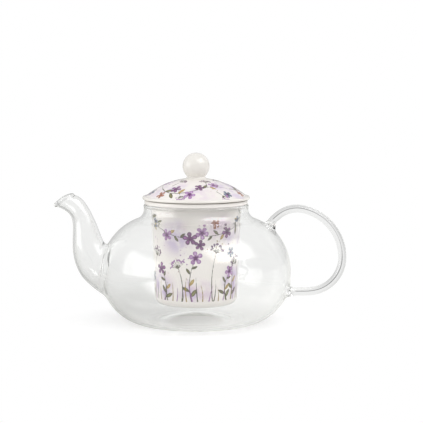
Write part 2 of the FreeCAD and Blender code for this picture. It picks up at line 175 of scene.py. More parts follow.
rim_bead = arc((NECK - GLASS / 2, RIM - RIM_BEAD), RIM_BEAD, RIM_ANGLES)
vessel_outline = wall_line(0) + rim_bead + wall_line(GLASS)[::-1]
print("vessel outline:", len(vessel_outline), "points")

# %% Cage of the vessel
COLUMNS = 48
SIXTHS = 6


def smoothing(count):
    """How smoothing mixes each corner of a row with its two neighbours, in sixths."""
    return 4 * np.eye(count) + np.eye(count, k=1) + np.eye(count, k=-1)


def ring_gain(count):
    """How much larger a ring of corners has to be than the circle it is smoothed to."""
    return 3 / (2 + math.cos(math.tau / count))


def turned_cage(outline, columns):
    """The corners whose smoothed curve runs through an outline that starts and ends on the axis."""
    points = np.array(outline)
    level, upright = smoothing(len(points)), smoothing(len(points))
    level[0, 1] = level[-1, -2] = 0
    upright[0, 1] = upright[-1, -2] = 2
    radii = np.linalg.solve(level, SIXTHS * points[:, 0]) * ring_gain(columns)
    heights = np.linalg.solve(upright, SIXTHS * points[:, 1])
    return np.stack([radii, heights], axis=1)


vessel_cage = turned_cage(vessel_outline, COLUMNS)
glass_pot = turned("glass_pot", vessel_cage, COLUMNS)

# %% [markdown]
# ## The spout
# On the real pot the spout is a second blown piece, melted on so that no seam is left. That is why the
# whole of the glass is one skin here: two glass skins that touch would show a mirror between them. We
# open a block of faces in the wall, pull its edge out along the spout, roll it over the lip, and lead
# it back down inside until it meets a second opening in the inner wall.

# %% Rows of the cage
HEEL_ROW = len(FLOOR_RADII) + len(RING_POINTS)
# One row, at the belly, lies between the heel and the shoulder
SHOULDER_ROW = HEEL_ROW + len(HEEL_ANGLES) + 1


def cage_rows(depth):
    """The cage's corners on the outer wall, or on the inner wall for any depth."""
    count = len(wall_line(depth))
    return vessel_cage[-count:][::-1] if depth else vessel_cage[:count]


print("cage: heel from row", HEEL_ROW, "and shoulder from row", SHOULDER_ROW)

# %% Opening a wall
OPENING_INSET = 0.6


def in_hand():
    """The mesh that is being edited."""
    return bmesh.from_edit_mesh(bpy.context.object.data)


def select_faces(test):
    """Select the faces whose middle passes a test, and count them."""
    bpy.ops.mesh.select_mode(type="FACE")
    bpy.ops.mesh.select_all(action="DESELECT")
    mesh = in_hand()
    for face in mesh.faces:
        face.select_set(bool(test(face.calc_center_median())))
    bmesh.update_edit_mesh(bpy.context.object.data)
    return sum(face.select for face in mesh.faces)


def open_wall(end_rows, direction, half_angle, depth, ring, middle, across, along):
    """Cut a block of wall away and lay the edge of the opening on a ring of points.

    The block lies between two rows of the cage, to both sides of a direction, and the ring's points
    are matched to the edge's corners by their angle about the middle."""
    rows = cage_rows(depth)
    low, high = (rows[row][1] for row in end_rows)
    wall = rows[HEEL_ROW:]

    def in_block(place):
        turn = math.atan2(place.y, place.x * direction)
        height = place.z / MM
        radius = math.hypot(place.x, place.y) / MM
        beside_wall = abs(radius - np.interp(height, wall[:, 1], wall[:, 0])) < GLASS / 2
        return low < height < high and abs(turn) < half_angle and beside_wall

    def angle_of(point):
        offset = Vector(point) - middle
        up, aside = offset.dot(along) / along.length, offset.dot(across) / across.length
        return math.atan2(up, aside) % math.tau

    def nearest_top(points):
        return min(range(len(points)), key=lambda i: abs(angle_of(points[i]) - math.pi / 2))

    count = select_faces(in_block)
    bpy.ops.mesh.inset(thickness=OPENING_INSET * MM)
    mesh = in_hand()
    edge = {v for e in mesh.edges if sum(f.select for f in e.link_faces) == 1 for v in e.verts}
    corners = sorted(edge, key=lambda v: angle_of(v.co))
    places = sorted(ring, key=angle_of)
    top_corner, top_place = nearest_top([v.co for v in corners]), nearest_top(places)
    for step in range(len(corners)):
        corner = corners[(top_corner + step) % len(corners)]
        corner.co = places[(top_place + step) % len(places)]
    bmesh.update_edit_mesh(bpy.context.object.data)
    bpy.ops.mesh.delete(type="FACE")
    bpy.ops.mesh.select_mode(type="EDGE")
    bpy.ops.mesh.select_all(action="DESELECT")
    print("opened", count, "faces with", len(corners), "corners")


# %% Pulling an edge
def pull(old, new):
    """Extrude the selected ring of edges and put its corners at the points of the next ring."""
    bpy.ops.mesh.extrude_region_move()
    mesh = in_hand()
    for corner in [v for v in mesh.verts if v.select]:
        nearest = np.argmin(np.linalg.norm(old - np.array(corner.co), axis=1))
        corner.co = new[nearest]
    bmesh.update_edit_mesh(bpy.context.object.data)


# %% Rings of the spout
SPOUT_CORNERS = 20
SPOUT_WALL = 1.8
# Height of the middle, half width and half height: the joint outside, and the hole inside
SPOUT_JOINT = (39.25, 16.2, 20.05)
SPOUT_HOLE = (40.1, 15.6, 18.1)
# The underside, the top side and the half width of the groove at the joint
GROOVE_RING = ((-71.8, 23.2), (-66.0, 58.5), 14.6)
# The same for the spout, ring by ring from the joint to the mouth
SPOUT_RINGS = [
    ((-74.8, 25.5), (-67.7, 59.6), 13.1),
    ((-82.1, 31.9), (-68.6, 61.2), 12.9),
    ((-87.4, 40.1), (-69.6, 63.4), 12.4),
    ((-90.2, 49.4), (-70.6, 66.0), 11.5),
    ((-90.9, 59.2), (-71.8, 69.2), 10.4),
    ((-90.6, 68.9), (-73.4, 73.4), 9.1),
    ((-90.9, 75.4), (-76.2, 79.7), 7.9),
    ((-92.8, 80.2), (-79.7, 86.2), 7.3),
    ((-97.3, 84.0), (-84.6, 92.4), 7.3),
    ((-101.6, 86.3), (-89.3, 94.6), 7.4),
]
# The same for the bore's flare into the vessel, on its way inwards
FLARE_RINGS = [
    ((-73.8, 27.1), (-68.3, 57.6), 11.6),
    ((-69.3, 24.3), (-66.0, 56.6), 13.3),
]
print("spout:", len(SPOUT_RINGS), "rings from the joint to the mouth")

# %% Rings as corners
ring_angles = np.arange(SPOUT_CORNERS) * math.tau / SPOUT_CORNERS
spout_gain = ring_gain(SPOUT_CORNERS)


def oval(low, high, half_width):
    """A ring of a cage round the line from a low to a high point in the pot's mid plane, in metres."""
    low, high = np.array((low[0], 0, low[1])), np.array((high[0], 0, high[1]))
    middle, reach = (low + high) / 2, (high - low) / 2 * spout_gain
    side = np.array((0, half_width * spout_gain, 0))
    turns = ring_angles[:, None]
    return (middle + reach * np.sin(turns) + side * np.cos(turns)) * MM


def narrowed(low, high, half_width):
    """A spout ring moved into the glass by the spout's wall all round."""
    low, high = np.array(low), np.array(high)
    step = (high - low) / np.linalg.norm(high - low) * SPOUT_WALL
    return tuple(low + step), tuple(high - step), half_width - SPOUT_WALL


def on_wall(depth, middle, half_wide, half_tall):
    """An oval of points that lies on the cage's wall on the spout's side."""
    rows = cage_rows(depth)[HEEL_ROW:]
    heights = middle + half_tall * np.sin(ring_angles)
    sides = half_wide * np.cos(ring_angles)
    radii = np.interp(heights, rows[:, 1], rows[:, 0])
    return np.stack([-np.sqrt(radii ** 2 - sides ** 2), sides, heights], axis=1) * MM


# %% Skins of the spout
def smooth_through(rings):
    """Rings whose smoothed skin runs through the given rings, with the first and the last one kept."""
    rings = np.array(rings)
    spread = smoothing(len(rings))
    for end in (0, -1):
        spread[end] = 0
        spread[end, end] = SIXTHS
    flat = np.linalg.solve(spread, (SIXTHS * rings).reshape(len(rings), -1))
    return flat.reshape(rings.shape)


outer_joint = on_wall(0, *SPOUT_JOINT)
inner_joint = on_wall(GLASS, *SPOUT_HOLE)
bore_rings = [narrowed(*ring) for ring in SPOUT_RINGS[:0:-1]] + FLARE_RINGS
outside = smooth_through([outer_joint] + [oval(*ring) for ring in [GROOVE_RING] + SPOUT_RINGS])
inside = smooth_through([oval(*ring) for ring in bore_rings] + [inner_joint])
print("skins:", len(outside), "rings outside and", len(inside), "inside")

# %% Rolling the lip
LOW_BEAD, HIGH_BEAD = 1.9, 1.15
LIP_CURL, LIP_BOW, LIP_AHEAD = 1.1, 1.3, 0.8
BEAD_TURNS = (215, 180, 145, 110, 75, 40, 5, -30)

mouth_low, mouth_high = SPOUT_RINGS[-1][:2]
mouth_across = np.array(mouth_high) - np.array(mouth_low)
mouth_out = np.array((-mouth_across[1], 0, mouth_across[0])) / np.linalg.norm(mouth_across)
mouth_edge = oval(*SPOUT_RINGS[-1])
mouth_inward = mouth_edge.mean(axis=0) - mouth_edge
mouth_inward /= np.linalg.norm(mouth_inward, axis=1)[:, None]
lowness = (1 - np.sin(ring_angles[:, None])) / 2
bead_sizes = HIGH_BEAD + (LOW_BEAD - HIGH_BEAD) * lowness
bow = LIP_BOW * np.cos(ring_angles[:, None]) ** 2


def lip_ring(turn):
    """A ring of the rolled lip, at a turn round the bead: 180 outside, 90 on top and 0 inside."""
    turn = math.radians(turn)
    depth = SPOUT_WALL / 2 - LIP_CURL * lowness + bead_sizes * math.cos(turn)
    ahead = bow + bead_sizes * (LIP_AHEAD + math.sin(turn))
    return mouth_edge + (depth * mouth_inward + ahead * mouth_out) * MM


lip = [lip_ring(turn) for turn in BEAD_TURNS]
print("lip rolled through", len(lip), "rings")

# %% Pulling the spout out
SPOUT_SIDE = -1
SPOUT_BLOCK = math.radians(15)
SPOUT_ROWS = (HEEL_ROW + HEEL_ANGLES.index(-32.5), SHOULDER_ROW + SHOULDER_ANGLES.index(33))


def open_for_spout(depth, ring, height, half_wide, half_tall):
    """Open the outer or the inner wall for the spout, and select the new edge."""
    middle = Vector((SPOUT_SIDE * BELLY, 0, height)) * MM
    across, along = Vector((0, half_wide, 0)), Vector((0, 0, half_tall))
    open_wall(SPOUT_ROWS, SPOUT_SIDE, SPOUT_BLOCK, depth, ring, middle, across, along)
    bpy.ops.mesh.select_non_manifold()


bpy.ops.object.mode_set(mode="EDIT")
open_for_spout(0, outer_joint, *SPOUT_JOINT)
rings = list(outside) + lip + list(inside[:-1])
for here, there in zip(rings, rings[1:]):
    pull(here, there)
open_for_spout(GLASS, inner_joint, *SPOUT_HOLE)
bpy.ops.mesh.bridge_edge_loops()
bpy.ops.object.mode_set(mode="OBJECT")
print("spout pulled through", len(rings), "rings")

# %% [markdown]
# ## The handle
# The handle is a solid glass rod, bent in one go and melted on at both ends, where a small gather of
# glass spreads over the wall. It grows out of the lower opening, follows straight runs and arcs, and is
# bridged to the upper opening.

# %% Path of the handle
ROD = 3.0
BEND_HEIGHT = 48.45
BOTTOM_BEND, BACK_BEND, TOP_BEND = 25.2, 37.0, 21.8
BOTTOM_STEP, BACK_STEP, TOP_STEP = 15, 13, 16
# The turns, in degrees, where the top bend starts and where the rod meets the shoulder
TOP_TURN, ROOT_TURN = 78, 158
SHORT_OF_ROOT = 12
STRAIGHT_RUN = (74, 79)
LOWER_ROOT_ROW = HEEL_ROW + HEEL_ANGLES.index(-19.6)
UPPER_ROOT_ROW = SHOULDER_ROW + SHOULDER_ANGLES.index(52.5)

lower_root = np.array(cage_rows(0)[LOWER_ROOT_ROW])
upper_root = np.array(cage_rows(0)[UPPER_ROOT_ROW])
rod_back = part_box("handle")[1].x / MM - ROD
back_centre = (rod_back - BACK_BEND, BEND_HEIGHT)
bottom_centre = (rod_back - BOTTOM_BEND, BEND_HEIGHT)
top_centre = np.array(arc(back_centre, BACK_BEND - TOP_BEND, [TOP_TURN])[0])

rod_line = [(x, BEND_HEIGHT - BOTTOM_BEND) for x in STRAIGHT_RUN]
rod_line += arc(bottom_centre, BOTTOM_BEND, range(-90, 0, BOTTOM_STEP))
rod_line += arc(back_centre, BACK_BEND, range(0, TOP_TURN, BACK_STEP))
rod_line += arc(top_centre, TOP_BEND, range(TOP_TURN, ROOT_TURN - SHORT_OF_ROOT, TOP_STEP))
rod_line = np.array(rod_line)
print("rod bent through", len(rod_line), "places, furthest back at %.1f mm" % rod_line[:, 0].max())

# %% Roots of the handle
ROD_CORNERS = 8
HANDLE_SIDE = 1
ROD_BLOCK = math.radians(7.6)


def rod_ring(place, along, radius):
    """A ring of the rod round a place in the pot's mid plane, square to the way it runs."""
    along = np.array(along) / np.linalg.norm(along)
    outward = np.array((-along[1], along[0]))
    turns = np.arange(ROD_CORNERS) * math.tau / ROD_CORNERS
    reach = radius * ring_gain(ROD_CORNERS)
    flat = np.array(place) + reach * np.sin(turns)[:, None] * outward
    return np.stack([flat[:, 0], reach * np.cos(turns), flat[:, 1]], axis=1) * MM


def open_root(row, radius):
    """Open the wall for the rod's end with a round edge of a radius, and select the edge."""
    rows = cage_rows(0)
    corner, slope = rows[row], np.array(rows[row + 1]) - np.array(rows[row - 1])
    ring = rod_ring(corner, (slope[1], -slope[0]), radius)
    middle = Vector((corner[0], 0, corner[1])) * MM
    across, along = Vector((0, 1, 0)), Vector((slope[0], 0, slope[1]))
    open_wall((row - 1, row + 1), HANDLE_SIDE, ROD_BLOCK, 0, ring, middle, across, along)
    bpy.ops.mesh.select_non_manifold()
    return ring


# %% Pulling the handle out
LOWER_GATHER, UPPER_GATHER = 4.4, 5.0
# How far from the wall the gathers of glass have a ring, and the ring's radius
LOWER_SWELL = ((1.3, 3.7), (3.2, 3.1))
UPPER_SWELL = ((5.4, 3.02), (3.2, 3.3), (1.4, 4.1))

bpy.context.view_layer.objects.active = glass_pot
bpy.ops.object.mode_set(mode="EDIT")
lower_ring = open_root(LOWER_ROOT_ROW, LOWER_GATHER)
start = np.array((lower_root[0], rod_line[0][1]))
leaving, arriving = np.array((1.0, 0.0)), np.array(arc((0, 0), 1, [ROOT_TURN + 90])[0])
rod_rings = [lower_ring]
rod_rings += [rod_ring(start + out * leaving, leaving, radius) for out, radius in LOWER_SWELL]
rod_rings += [rod_ring(place, way, ROD) for place, way in zip(rod_line, np.gradient(rod_line, axis=0))]
rod_rings += [rod_ring(upper_root - back * arriving, arriving, radius) for back, radius in UPPER_SWELL]
for here, there in zip(rod_rings, rod_rings[1:]):
    pull(here, there)
open_root(UPPER_ROOT_ROW, UPPER_GATHER)
bpy.ops.mesh.bridge_edge_loops()
bpy.ops.mesh.select_all(action="SELECT")
bpy.ops.mesh.normals_make_consistent(inside=False)
bpy.ops.object.mode_set(mode="OBJECT")
print("handle pulled through", len(rod_rings), "rings")

# %% [markdown]
# ## Smoothing the glass
# Melted glass has no edges, so the whole cage is rounded off with a Subdivision Surface modifier, which
# is applied for good. It blends the spout and the handle into the wall as heat does. Light finds its way
# through glass only where the skin is closed, so we count the open edges.

# %% Smoothing the glass
GLASS_LEVELS = 2
CUBIC_CM = 1e6


def smoothed(piece, levels):
    """Round a cage off for good."""
    bpy.ops.object.select_all(action="DESELECT")
    piece.select_set(True)
    bpy.context.view_layer.objects.active = piece
    smooth = piece.modifiers.new("smooth", "SUBSURF")
    smooth.levels = smooth.render_levels = levels
    bpy.ops.object.modifier_apply(modifier=smooth.name)
    bpy.ops.object.shade_smooth()


smoothed(glass_pot, GLASS_LEVELS)
skin = bmesh.new()
skin.from_mesh(glass_pot.data)
open_edges = sum(not edge.is_manifold for edge in skin.edges)
print("glass: %d faces, %d open edges" % (len(skin.faces), open_edges))
print("glass: %.1f cubic centimetres" % (skin.calc_volume() * CUBIC_CM))
skin.free()
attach(glass_pot, "pot")
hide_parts("glass_body", "spout", "handle", "upper_handle_seal", "lower_handle_seal")

# %% [markdown]
# ## Nodes as formulas
# A finish is a formula that is wired up from nodes. A few helpers let us write it as one: each adds a
# node, sets an input that is given as a number or a colour, and links one that is given as an output.

# %% Node helpers
# A mix node's kind, its two inputs and its output
MIX_NUMBERS, MIX_COLOURS = ("FLOAT", 2, 3, 0), ("RGBA", 6, 7, 2)


def new_material(name):
    """An empty node material, its tree and its output."""
    material = bpy.data.materials.new(name)
    material.use_nodes = True
    material.node_tree.nodes.clear()
    return material, material.node_tree, material.node_tree.nodes.new("ShaderNodeOutputMaterial")


def node(tree, kind, inputs, **settings):
    """Add a node with its settings, and set or link its inputs."""
    added = tree.nodes.new("ShaderNode" + kind)
    for name, value in settings.items():
        setattr(added, name, value)
    for name, value in inputs.items():
        if isinstance(value, bpy.types.NodeSocket):
            tree.links.new(value, added.inputs[name])
        else:
            added.inputs[name].default_value = value
    return added


def worked_out(tree, operation, a, b):
    """Two values added, multiplied or the like."""
    return node(tree, "Math", {0: a, 1: b}, operation=operation).outputs[0]


def eased(tree, value, low, high, to_low=0.0, to_high=1.0):
    """A value that eases from one number to another while its input goes from low to high."""
    inputs = {"Value": value, "From Min": low, "From Max": high, "To Min": to_low, "To Max": to_high}
    return node(tree, "MapRange", inputs, interpolation_type="SMOOTHSTEP").outputs["Result"]


def band(tree, value, edges):
    """1 between the inner two of four edges, and 0 outside the outer two."""
    rise = eased(tree, value, edges[0], edges[1])
    return worked_out(tree, "MULTIPLY", rise, eased(tree, value, edges[2], edges[3], 1.0, 0.0))


def mixed(tree, kind, factor, a, b):
    """Two numbers or colours mixed: a where the factor is 0, and b where it is 1."""
    data_type, first, second, result = kind
    return node(tree, "Mix", {0: factor, first: a, second: b}, data_type=data_type).outputs[result]


def noise(tree, place, scale, detail):
    """A cloudy value, with a number of clouds to the metre."""
    return node(tree, "TexNoise", {"Vector": place, "Scale": scale, "Detail": detail}).outputs["Fac"]


def waviness(tree, height, strength, distance):
    """A surface that rises and falls with a height."""
    inputs = {"Height": height, "Strength": strength, "Distance": distance}
    return node(tree, "Bump", inputs).outputs["Normal"]


# %% [markdown]
# ## Clear glass
# Blown glass is clear, but its wall is never quite even, so a faint, broad bump bends what is seen
# through it. Towards the outline a line of sight runs a long way inside the wall and loses light, so the
# glass is a little greyer where it turns away, and sooner so on the narrow spout. Lamps have to shine
# through it, which a refracting shader does slowly and with noise, so shadow rays meet plain tinted
# transparency in its place.

# %% Glass
GLASS_TINT, GLASS_EDGE = (0.955, 0.957, 0.952, 1), (0.80, 0.81, 0.79, 1)
GLASS_SHADOW = (0.985, 0.987, 0.985, 1)
GLASS_INDEX, GLASS_ROUGHNESS = 1.47, 0.0
BODY_TURNS_AWAY, SPOUT_TURNS_AWAY = (0.6, 1.0), (0.2, 0.8)
EVEN_BLEND = 0.5
SPOUT_FROM = (-82 * MM, -70 * MM)
GLASS_WAVES, WAVE_STRENGTH, WAVE_HEIGHT = (28, 1), 0.06, 2 * MM


def glass_material():
    """Clear glass that lamps shine through, with the faint waves of a blown wall."""
    material, tree, output = new_material("blown_glass")
    place = node(tree, "TexCoord", {}).outputs["Object"]
    waves = waviness(tree, noise(tree, place, *GLASS_WAVES), WAVE_STRENGTH, WAVE_HEIGHT)
    facing = node(tree, "LayerWeight", {"Blend": EVEN_BLEND}).outputs["Facing"]
    side = node(tree, "SeparateXYZ", {"Vector": place}).outputs["X"]
    edges = [eased(tree, facing, *turn) for turn in (SPOUT_TURNS_AWAY, BODY_TURNS_AWAY)]
    edge = mixed(tree, MIX_NUMBERS, eased(tree, side, *SPOUT_FROM), *edges)
    clear = node(tree, "BsdfPrincipled", {
        "Base Color": mixed(tree, MIX_COLOURS, edge, GLASS_TINT, GLASS_EDGE),
        "Roughness": GLASS_ROUGHNESS, "IOR": GLASS_INDEX, "Transmission Weight": 1.0, "Normal": waves})
    shadow = node(tree, "BsdfTransparent", {"Color": GLASS_SHADOW})
    ray = node(tree, "LightPath", {}).outputs["Is Shadow Ray"]
    both = node(tree, "MixShader", {0: ray, 1: clear.outputs[0], 2: shadow.outputs[0]})
    tree.links.new(both.outputs[0], output.inputs["Surface"])
    return material


glass_pot.data.materials.append(glass_material())
print("glass index", GLASS_INDEX)

# %% [markdown]
# ## The porcelain infuser
# The infuser is a slightly tapered cup, cast and glazed, that hangs by its flange on the glass rim. Its
# outer wall carries the printed plants, so it gets a fine mesh: the print is stored on the mesh's own
# corners. The drain holes in the floor are cut with a set of pins, as a potter punches them. The floor's
# narrow slices are first dissolved into one face above and one below, so the holes get clean edges.

# %% Sizes of the infuser
cup_low, cup_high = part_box("infuser")
CUP_BOTTOM, FLANGE_TOP, FLANGE = cup_low.z / MM, cup_high.z / MM, cup_high.y / MM
CUP_TOP, CUP_FOOT = 33.0, 30.4
BORE_TOP, BORE_FOOT = 30.2, 27.6
FOOT_ROUND, FLOOR_ROUND, FLOOR = 5.5, 4.0, 3.0
FLANGE_THICK, FLANGE_ROUND, FLANGE_ROOT, MOUTH_ROUND = 3.5, 1.0, 2.0, 1.2
FOOT_STEP, FLOOR_STEP, ROUND_STEP = 10, 15, 18
BORE_BELOW_TOP, BORE_STEP = 4, 8
PRINT_STEP = 0.5
PRINT_COLUMNS = 400
print("cup %.1f mm high" % (FLANGE_TOP - CUP_BOTTOM))


# %% Outline of the infuser
def slant(start, end, step):
    """Evenly spaced points from a start to an end, about a step apart."""
    count = max(2, round(math.dist(start, end) / step) + 1)
    return list(zip(np.linspace(start[0], end[0], count), np.linspace(start[1], end[1], count)))


flange_under = FLANGE_TOP - FLANGE_THICK
wall_foot = (CUP_FOOT, CUP_BOTTOM + FOOT_ROUND)
wall_top = (CUP_TOP, flange_under - FLANGE_ROOT)
floor_top = CUP_BOTTOM + FLOOR
bore_top, bore_foot = (BORE_TOP, FLANGE_TOP - BORE_BELOW_TOP), (BORE_FOOT, floor_top + FLOOR_ROUND)
flange_edge, mouth_edge_x = FLANGE - FLANGE_ROUND, BORE_TOP + MOUTH_ROUND
root_centre = (CUP_TOP + FLANGE_ROOT, wall_top[1])
floor_centre = (BORE_FOOT - FLOOR_ROUND, bore_foot[1])
cup_outline = [(0, CUP_BOTTOM)]
cup_outline += arc((CUP_FOOT - FOOT_ROUND, wall_foot[1]), FOOT_ROUND, range(-90, 0, FOOT_STEP))
cup_outline += slant(wall_foot, wall_top, PRINT_STEP)
cup_outline += arc(root_centre, FLANGE_ROOT, range(180 - ROUND_STEP, 89, -ROUND_STEP))
cup_outline += arc((flange_edge, flange_under + FLANGE_ROUND), FLANGE_ROUND, range(-90, 1, ROUND_STEP))
cup_outline += arc((flange_edge, FLANGE_TOP - FLANGE_ROUND), FLANGE_ROUND, range(0, 91, ROUND_STEP))
cup_outline += arc((mouth_edge_x, FLANGE_TOP - MOUTH_ROUND), MOUTH_ROUND, range(90, 181, ROUND_STEP))
cup_outline += slant(bore_top, bore_foot, BORE_STEP)
cup_outline += arc(floor_centre, FLOOR_ROUND, range(-FLOOR_STEP, -91, -FLOOR_STEP))
cup_outline += [(0, floor_top)]
infuser = turned("porcelain_infuser", cup_outline, PRINT_COLUMNS)

# %% Drain holes
DRAIN, DRAIN_PITCH, DRAIN_RINGS = 1.1, 6.5, 3
DRAINS_PER_RING = 6
PIN_SIDES, PIN_LENGTH = 20, 4 * FLOOR
SHARP = math.radians(40)


def add_pin(x, y):
    """A pin through the floor at a place."""
    place = Vector((x, y, CUP_BOTTOM)) * MM
    bpy.ops.mesh.primitive_cylinder_add(
        vertices=PIN_SIDES, radius=DRAIN * MM, depth=PIN_LENGTH * MM, location=place)


def on_floor(place):
    """Whether a place lies on the flat of the floor, above or below."""
    return math.hypot(place.x, place.y) < (BORE_FOOT - FLOOR_ROUND) * MM


bpy.ops.object.select_all(action="DESELECT")
add_pin(0, 0)
pins = bpy.context.object
bpy.ops.object.transform_apply(location=True)
bpy.ops.object.mode_set(mode="EDIT")
for ring in range(1, DRAIN_RINGS + 1):
    for step in range(DRAINS_PER_RING * ring):
        turn = math.tau * step / (DRAINS_PER_RING * ring)
        add_pin(ring * DRAIN_PITCH * math.cos(turn), ring * DRAIN_PITCH * math.sin(turn))
bpy.ops.object.mode_set(mode="OBJECT")
bpy.ops.object.select_all(action="DESELECT")
bpy.context.view_layer.objects.active = infuser
infuser.select_set(True)
bpy.ops.object.mode_set(mode="EDIT")
select_faces(on_floor)
bpy.ops.mesh.dissolve_faces()
bpy.ops.object.mode_set(mode="OBJECT")
punch = infuser.modifiers.new("drains", "BOOLEAN")
punch.operation = "DIFFERENCE"
punch.solver = "MANIFOLD"
punch.object = pins
bpy.ops.object.modifier_apply(modifier=punch.name)
bpy.data.objects.remove(pins)
bpy.ops.object.shade_smooth_by_angle(angle=SHARP)
print("infuser with drains:", len(infuser.data.polygons), "faces")
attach(infuser, "infuser")
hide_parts("infuser")

# %% [markdown]
# ## The lid and its knob
# The lid is a shallow dome with a narrow brim, and a skirt below that keeps it centred in the cup. The
# ball knob is a piece of its own that the potter sets on with slip, so its foot spreads softly over the
# dome.

# %% Sizes of the lid
lid_low, lid_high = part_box("lid")
LID_BOTTOM, BRIM = lid_low.z / MM, lid_high.y / MM
LID_TOP, DOME_FOOT, DOME_RISE, LID_WALL = 107.6, 35.5, 12.2, 3.0
BRIM_UNDER, BRIM_THICK, BRIM_ROUND, BRIM_STEP = 91.8, 2.3, 0.9, 15
# The hollow between dome and brim: how far out its two points are, and how far down and up
HOLLOW_OUT, HOLLOW_DOWN, HOLLOW_UP = (0.9, 1.9), 0.65, 0.15
SEAT_OUT = 34
SKIRT_OUT, SKIRT_IN, SKIRT_ROUND, SKIRT_ROOT = 28.6, 26.0, 0.8, 0.4
LINING_ROWS = 12
print("lid %.1f mm across" % (2 * BRIM))

# %% Outline of the lid
dome_ball = (DOME_FOOT ** 2 + DOME_RISE ** 2) / (2 * DOME_RISE)
dome_centre = (0, LID_TOP - dome_ball)
dome_edge = math.degrees(math.acos(DOME_FOOT / dome_ball))
dome_rows = round(math.radians(90 - dome_edge) * dome_ball / PRINT_STEP)
inner_edge = math.degrees(math.acos(SKIRT_IN / (dome_ball - LID_WALL)))
brim_top, brim_x = BRIM_UNDER + BRIM_THICK, BRIM - BRIM_ROUND
skirt_low = LID_BOTTOM + SKIRT_ROUND
lid_outline = arc(dome_centre, dome_ball, np.linspace(90, dome_edge, dome_rows))
lid_outline += [(DOME_FOOT + HOLLOW_OUT[0], LID_TOP - DOME_RISE - HOLLOW_DOWN)]
lid_outline += [(DOME_FOOT + HOLLOW_OUT[1], brim_top + HOLLOW_UP)]
lid_outline += arc((brim_x, brim_top - BRIM_ROUND), BRIM_ROUND, range(90, -1, -BRIM_STEP))
lid_outline += arc((brim_x, BRIM_UNDER + BRIM_ROUND), BRIM_ROUND, range(0, -91, -BRIM_STEP))
lid_outline += [(SEAT_OUT, BRIM_UNDER), (SKIRT_OUT + SKIRT_ROOT, BRIM_UNDER)]
lid_outline += [(SKIRT_OUT, BRIM_UNDER - SKIRT_ROOT)]
lid_outline += arc((SKIRT_OUT - SKIRT_ROUND, skirt_low), SKIRT_ROUND, range(0, -91, -ROUND_STEP))
lid_outline += arc((SKIRT_IN + SKIRT_ROUND, skirt_low), SKIRT_ROUND, range(-90, -181, -ROUND_STEP))
lid_outline += arc(dome_centre, dome_ball - LID_WALL, np.linspace(inner_edge, 90, LINING_ROWS))
lid = turned("porcelain_lid", lid_outline, PRINT_COLUMNS)
bpy.ops.object.shade_smooth_by_angle(angle=SHARP)
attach(lid, "lid")
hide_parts("lid")

# %% Knob
KNOB_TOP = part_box("lid_knob")[1].z / MM
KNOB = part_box("lid_knob")[1].x / MM
KNOB_NECK, KNOB_FOOT, FOOT_TUCK = 6.5, 8.4, 0.6
NECK_SWEEP = 5
KNOB_ROWS, KNOB_COLUMNS = 30, 96
# Radius of the foot's points, and their height over the place where it meets the dome
FOOT_POINTS = (
    (0, -0.4), (KNOB_FOOT - FOOT_TUCK, -0.3), (KNOB_FOOT, -0.02), (7.5, 0.35), (6.95, 0.85), (6.7, 1.3))

knob_middle = KNOB_TOP - KNOB
neck_turn = -math.degrees(math.acos(KNOB_NECK / KNOB))
foot_height = dome_centre[1] + math.sqrt(dome_ball ** 2 - KNOB_FOOT ** 2)
knob_outline = [(radius, foot_height + rise) for radius, rise in FOOT_POINTS]
knob_outline += arc((0, knob_middle), KNOB, np.linspace(neck_turn + NECK_SWEEP, 90, KNOB_ROWS))
lid_knob = turned("ball_knob", knob_outline, KNOB_COLUMNS)
bpy.ops.object.shade_smooth_by_angle(angle=SHARP)
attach(lid_knob, "lid")
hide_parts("lid_knob")

# %% [markdown]
# ## The print
# The porcelain carries a watercolour meadow. A picture file isn't needed: every stroke is a small shape
# with a known outline, and each corner of the mesh stores how far it is from the nearest stroke of each
# ink. A distance changes smoothly from corner to corner, so the shader can turn it back into a crisp
# edge that is finer than the mesh.

# %% Sheets to print on
FAR_AWAY = 6.0
PRINT_LAYERS = {"ink_flowers": ("plum", "mauve", "slate"), "ink_leaves": ("leaf", "ochre", "clay")}


def blank_sheet(across, up, repeat):
    """A sheet to print on: each corner's place in millimetres, and no ink yet. It repeats across."""
    sheet = {ink: np.full(len(across), FAR_AWAY) for inks in PRINT_LAYERS.values() for ink in inks}
    sheet.update(across=across, up=up, repeat=repeat, wash=np.zeros(len(across)))
    return sheet


def seen_from(sheet, place):
    """The corners' places as seen from a place, the short way round."""
    half = sheet["repeat"] / 2
    across = (sheet["across"] - place[0] + half) % sheet["repeat"] - half
    return across, sheet["up"] - place[1]


print("inks:", PRINT_LAYERS)

# %% Strokes
LINE_POINTS = 9


def lay(sheet, ink, distance):
    """Add a shape to an ink, given each corner's distance from its edge."""
    sheet[ink] = np.minimum(sheet[ink], distance)


def dot(sheet, ink, place, radius):
    """A round touch of the brush."""
    lay(sheet, ink, np.hypot(*seen_from(sheet, place)) - radius)


def brush(sheet, ink, points, first_width, last_width):
    """A brush line along points, whose width goes from the first to the last."""
    radii = np.linspace(first_width, last_width, len(points)) / 2
    for here, there, near, far in zip(points, points[1:], radii, radii[1:]):
        across, up = seen_from(sheet, here)
        way = there - here
        share = np.clip((across * way[0] + up * way[1]) / (way @ way), 0, 1)
        line = np.hypot(across - share * way[0], up - share * way[1])
        lay(sheet, ink, line - near - share * (far - near))


def leaf(sheet, ink, place, turn, length, width):
    """A pointed oval that starts at a place and points along a turn."""
    across, up = seen_from(sheet, place)
    along = across * math.cos(turn) + up * math.sin(turn) - length / 2
    aside = up * math.cos(turn) - across * math.sin(turn)
    share = np.clip(along / (length / 2), -1, 1)
    edge = np.abs(aside) - width / 2 * (1 - share ** 2)
    beyond = np.maximum(np.abs(along) - length / 2, 0)
    lay(sheet, ink, np.where(beyond > 0, np.hypot(beyond, np.maximum(edge, 0)), edge))


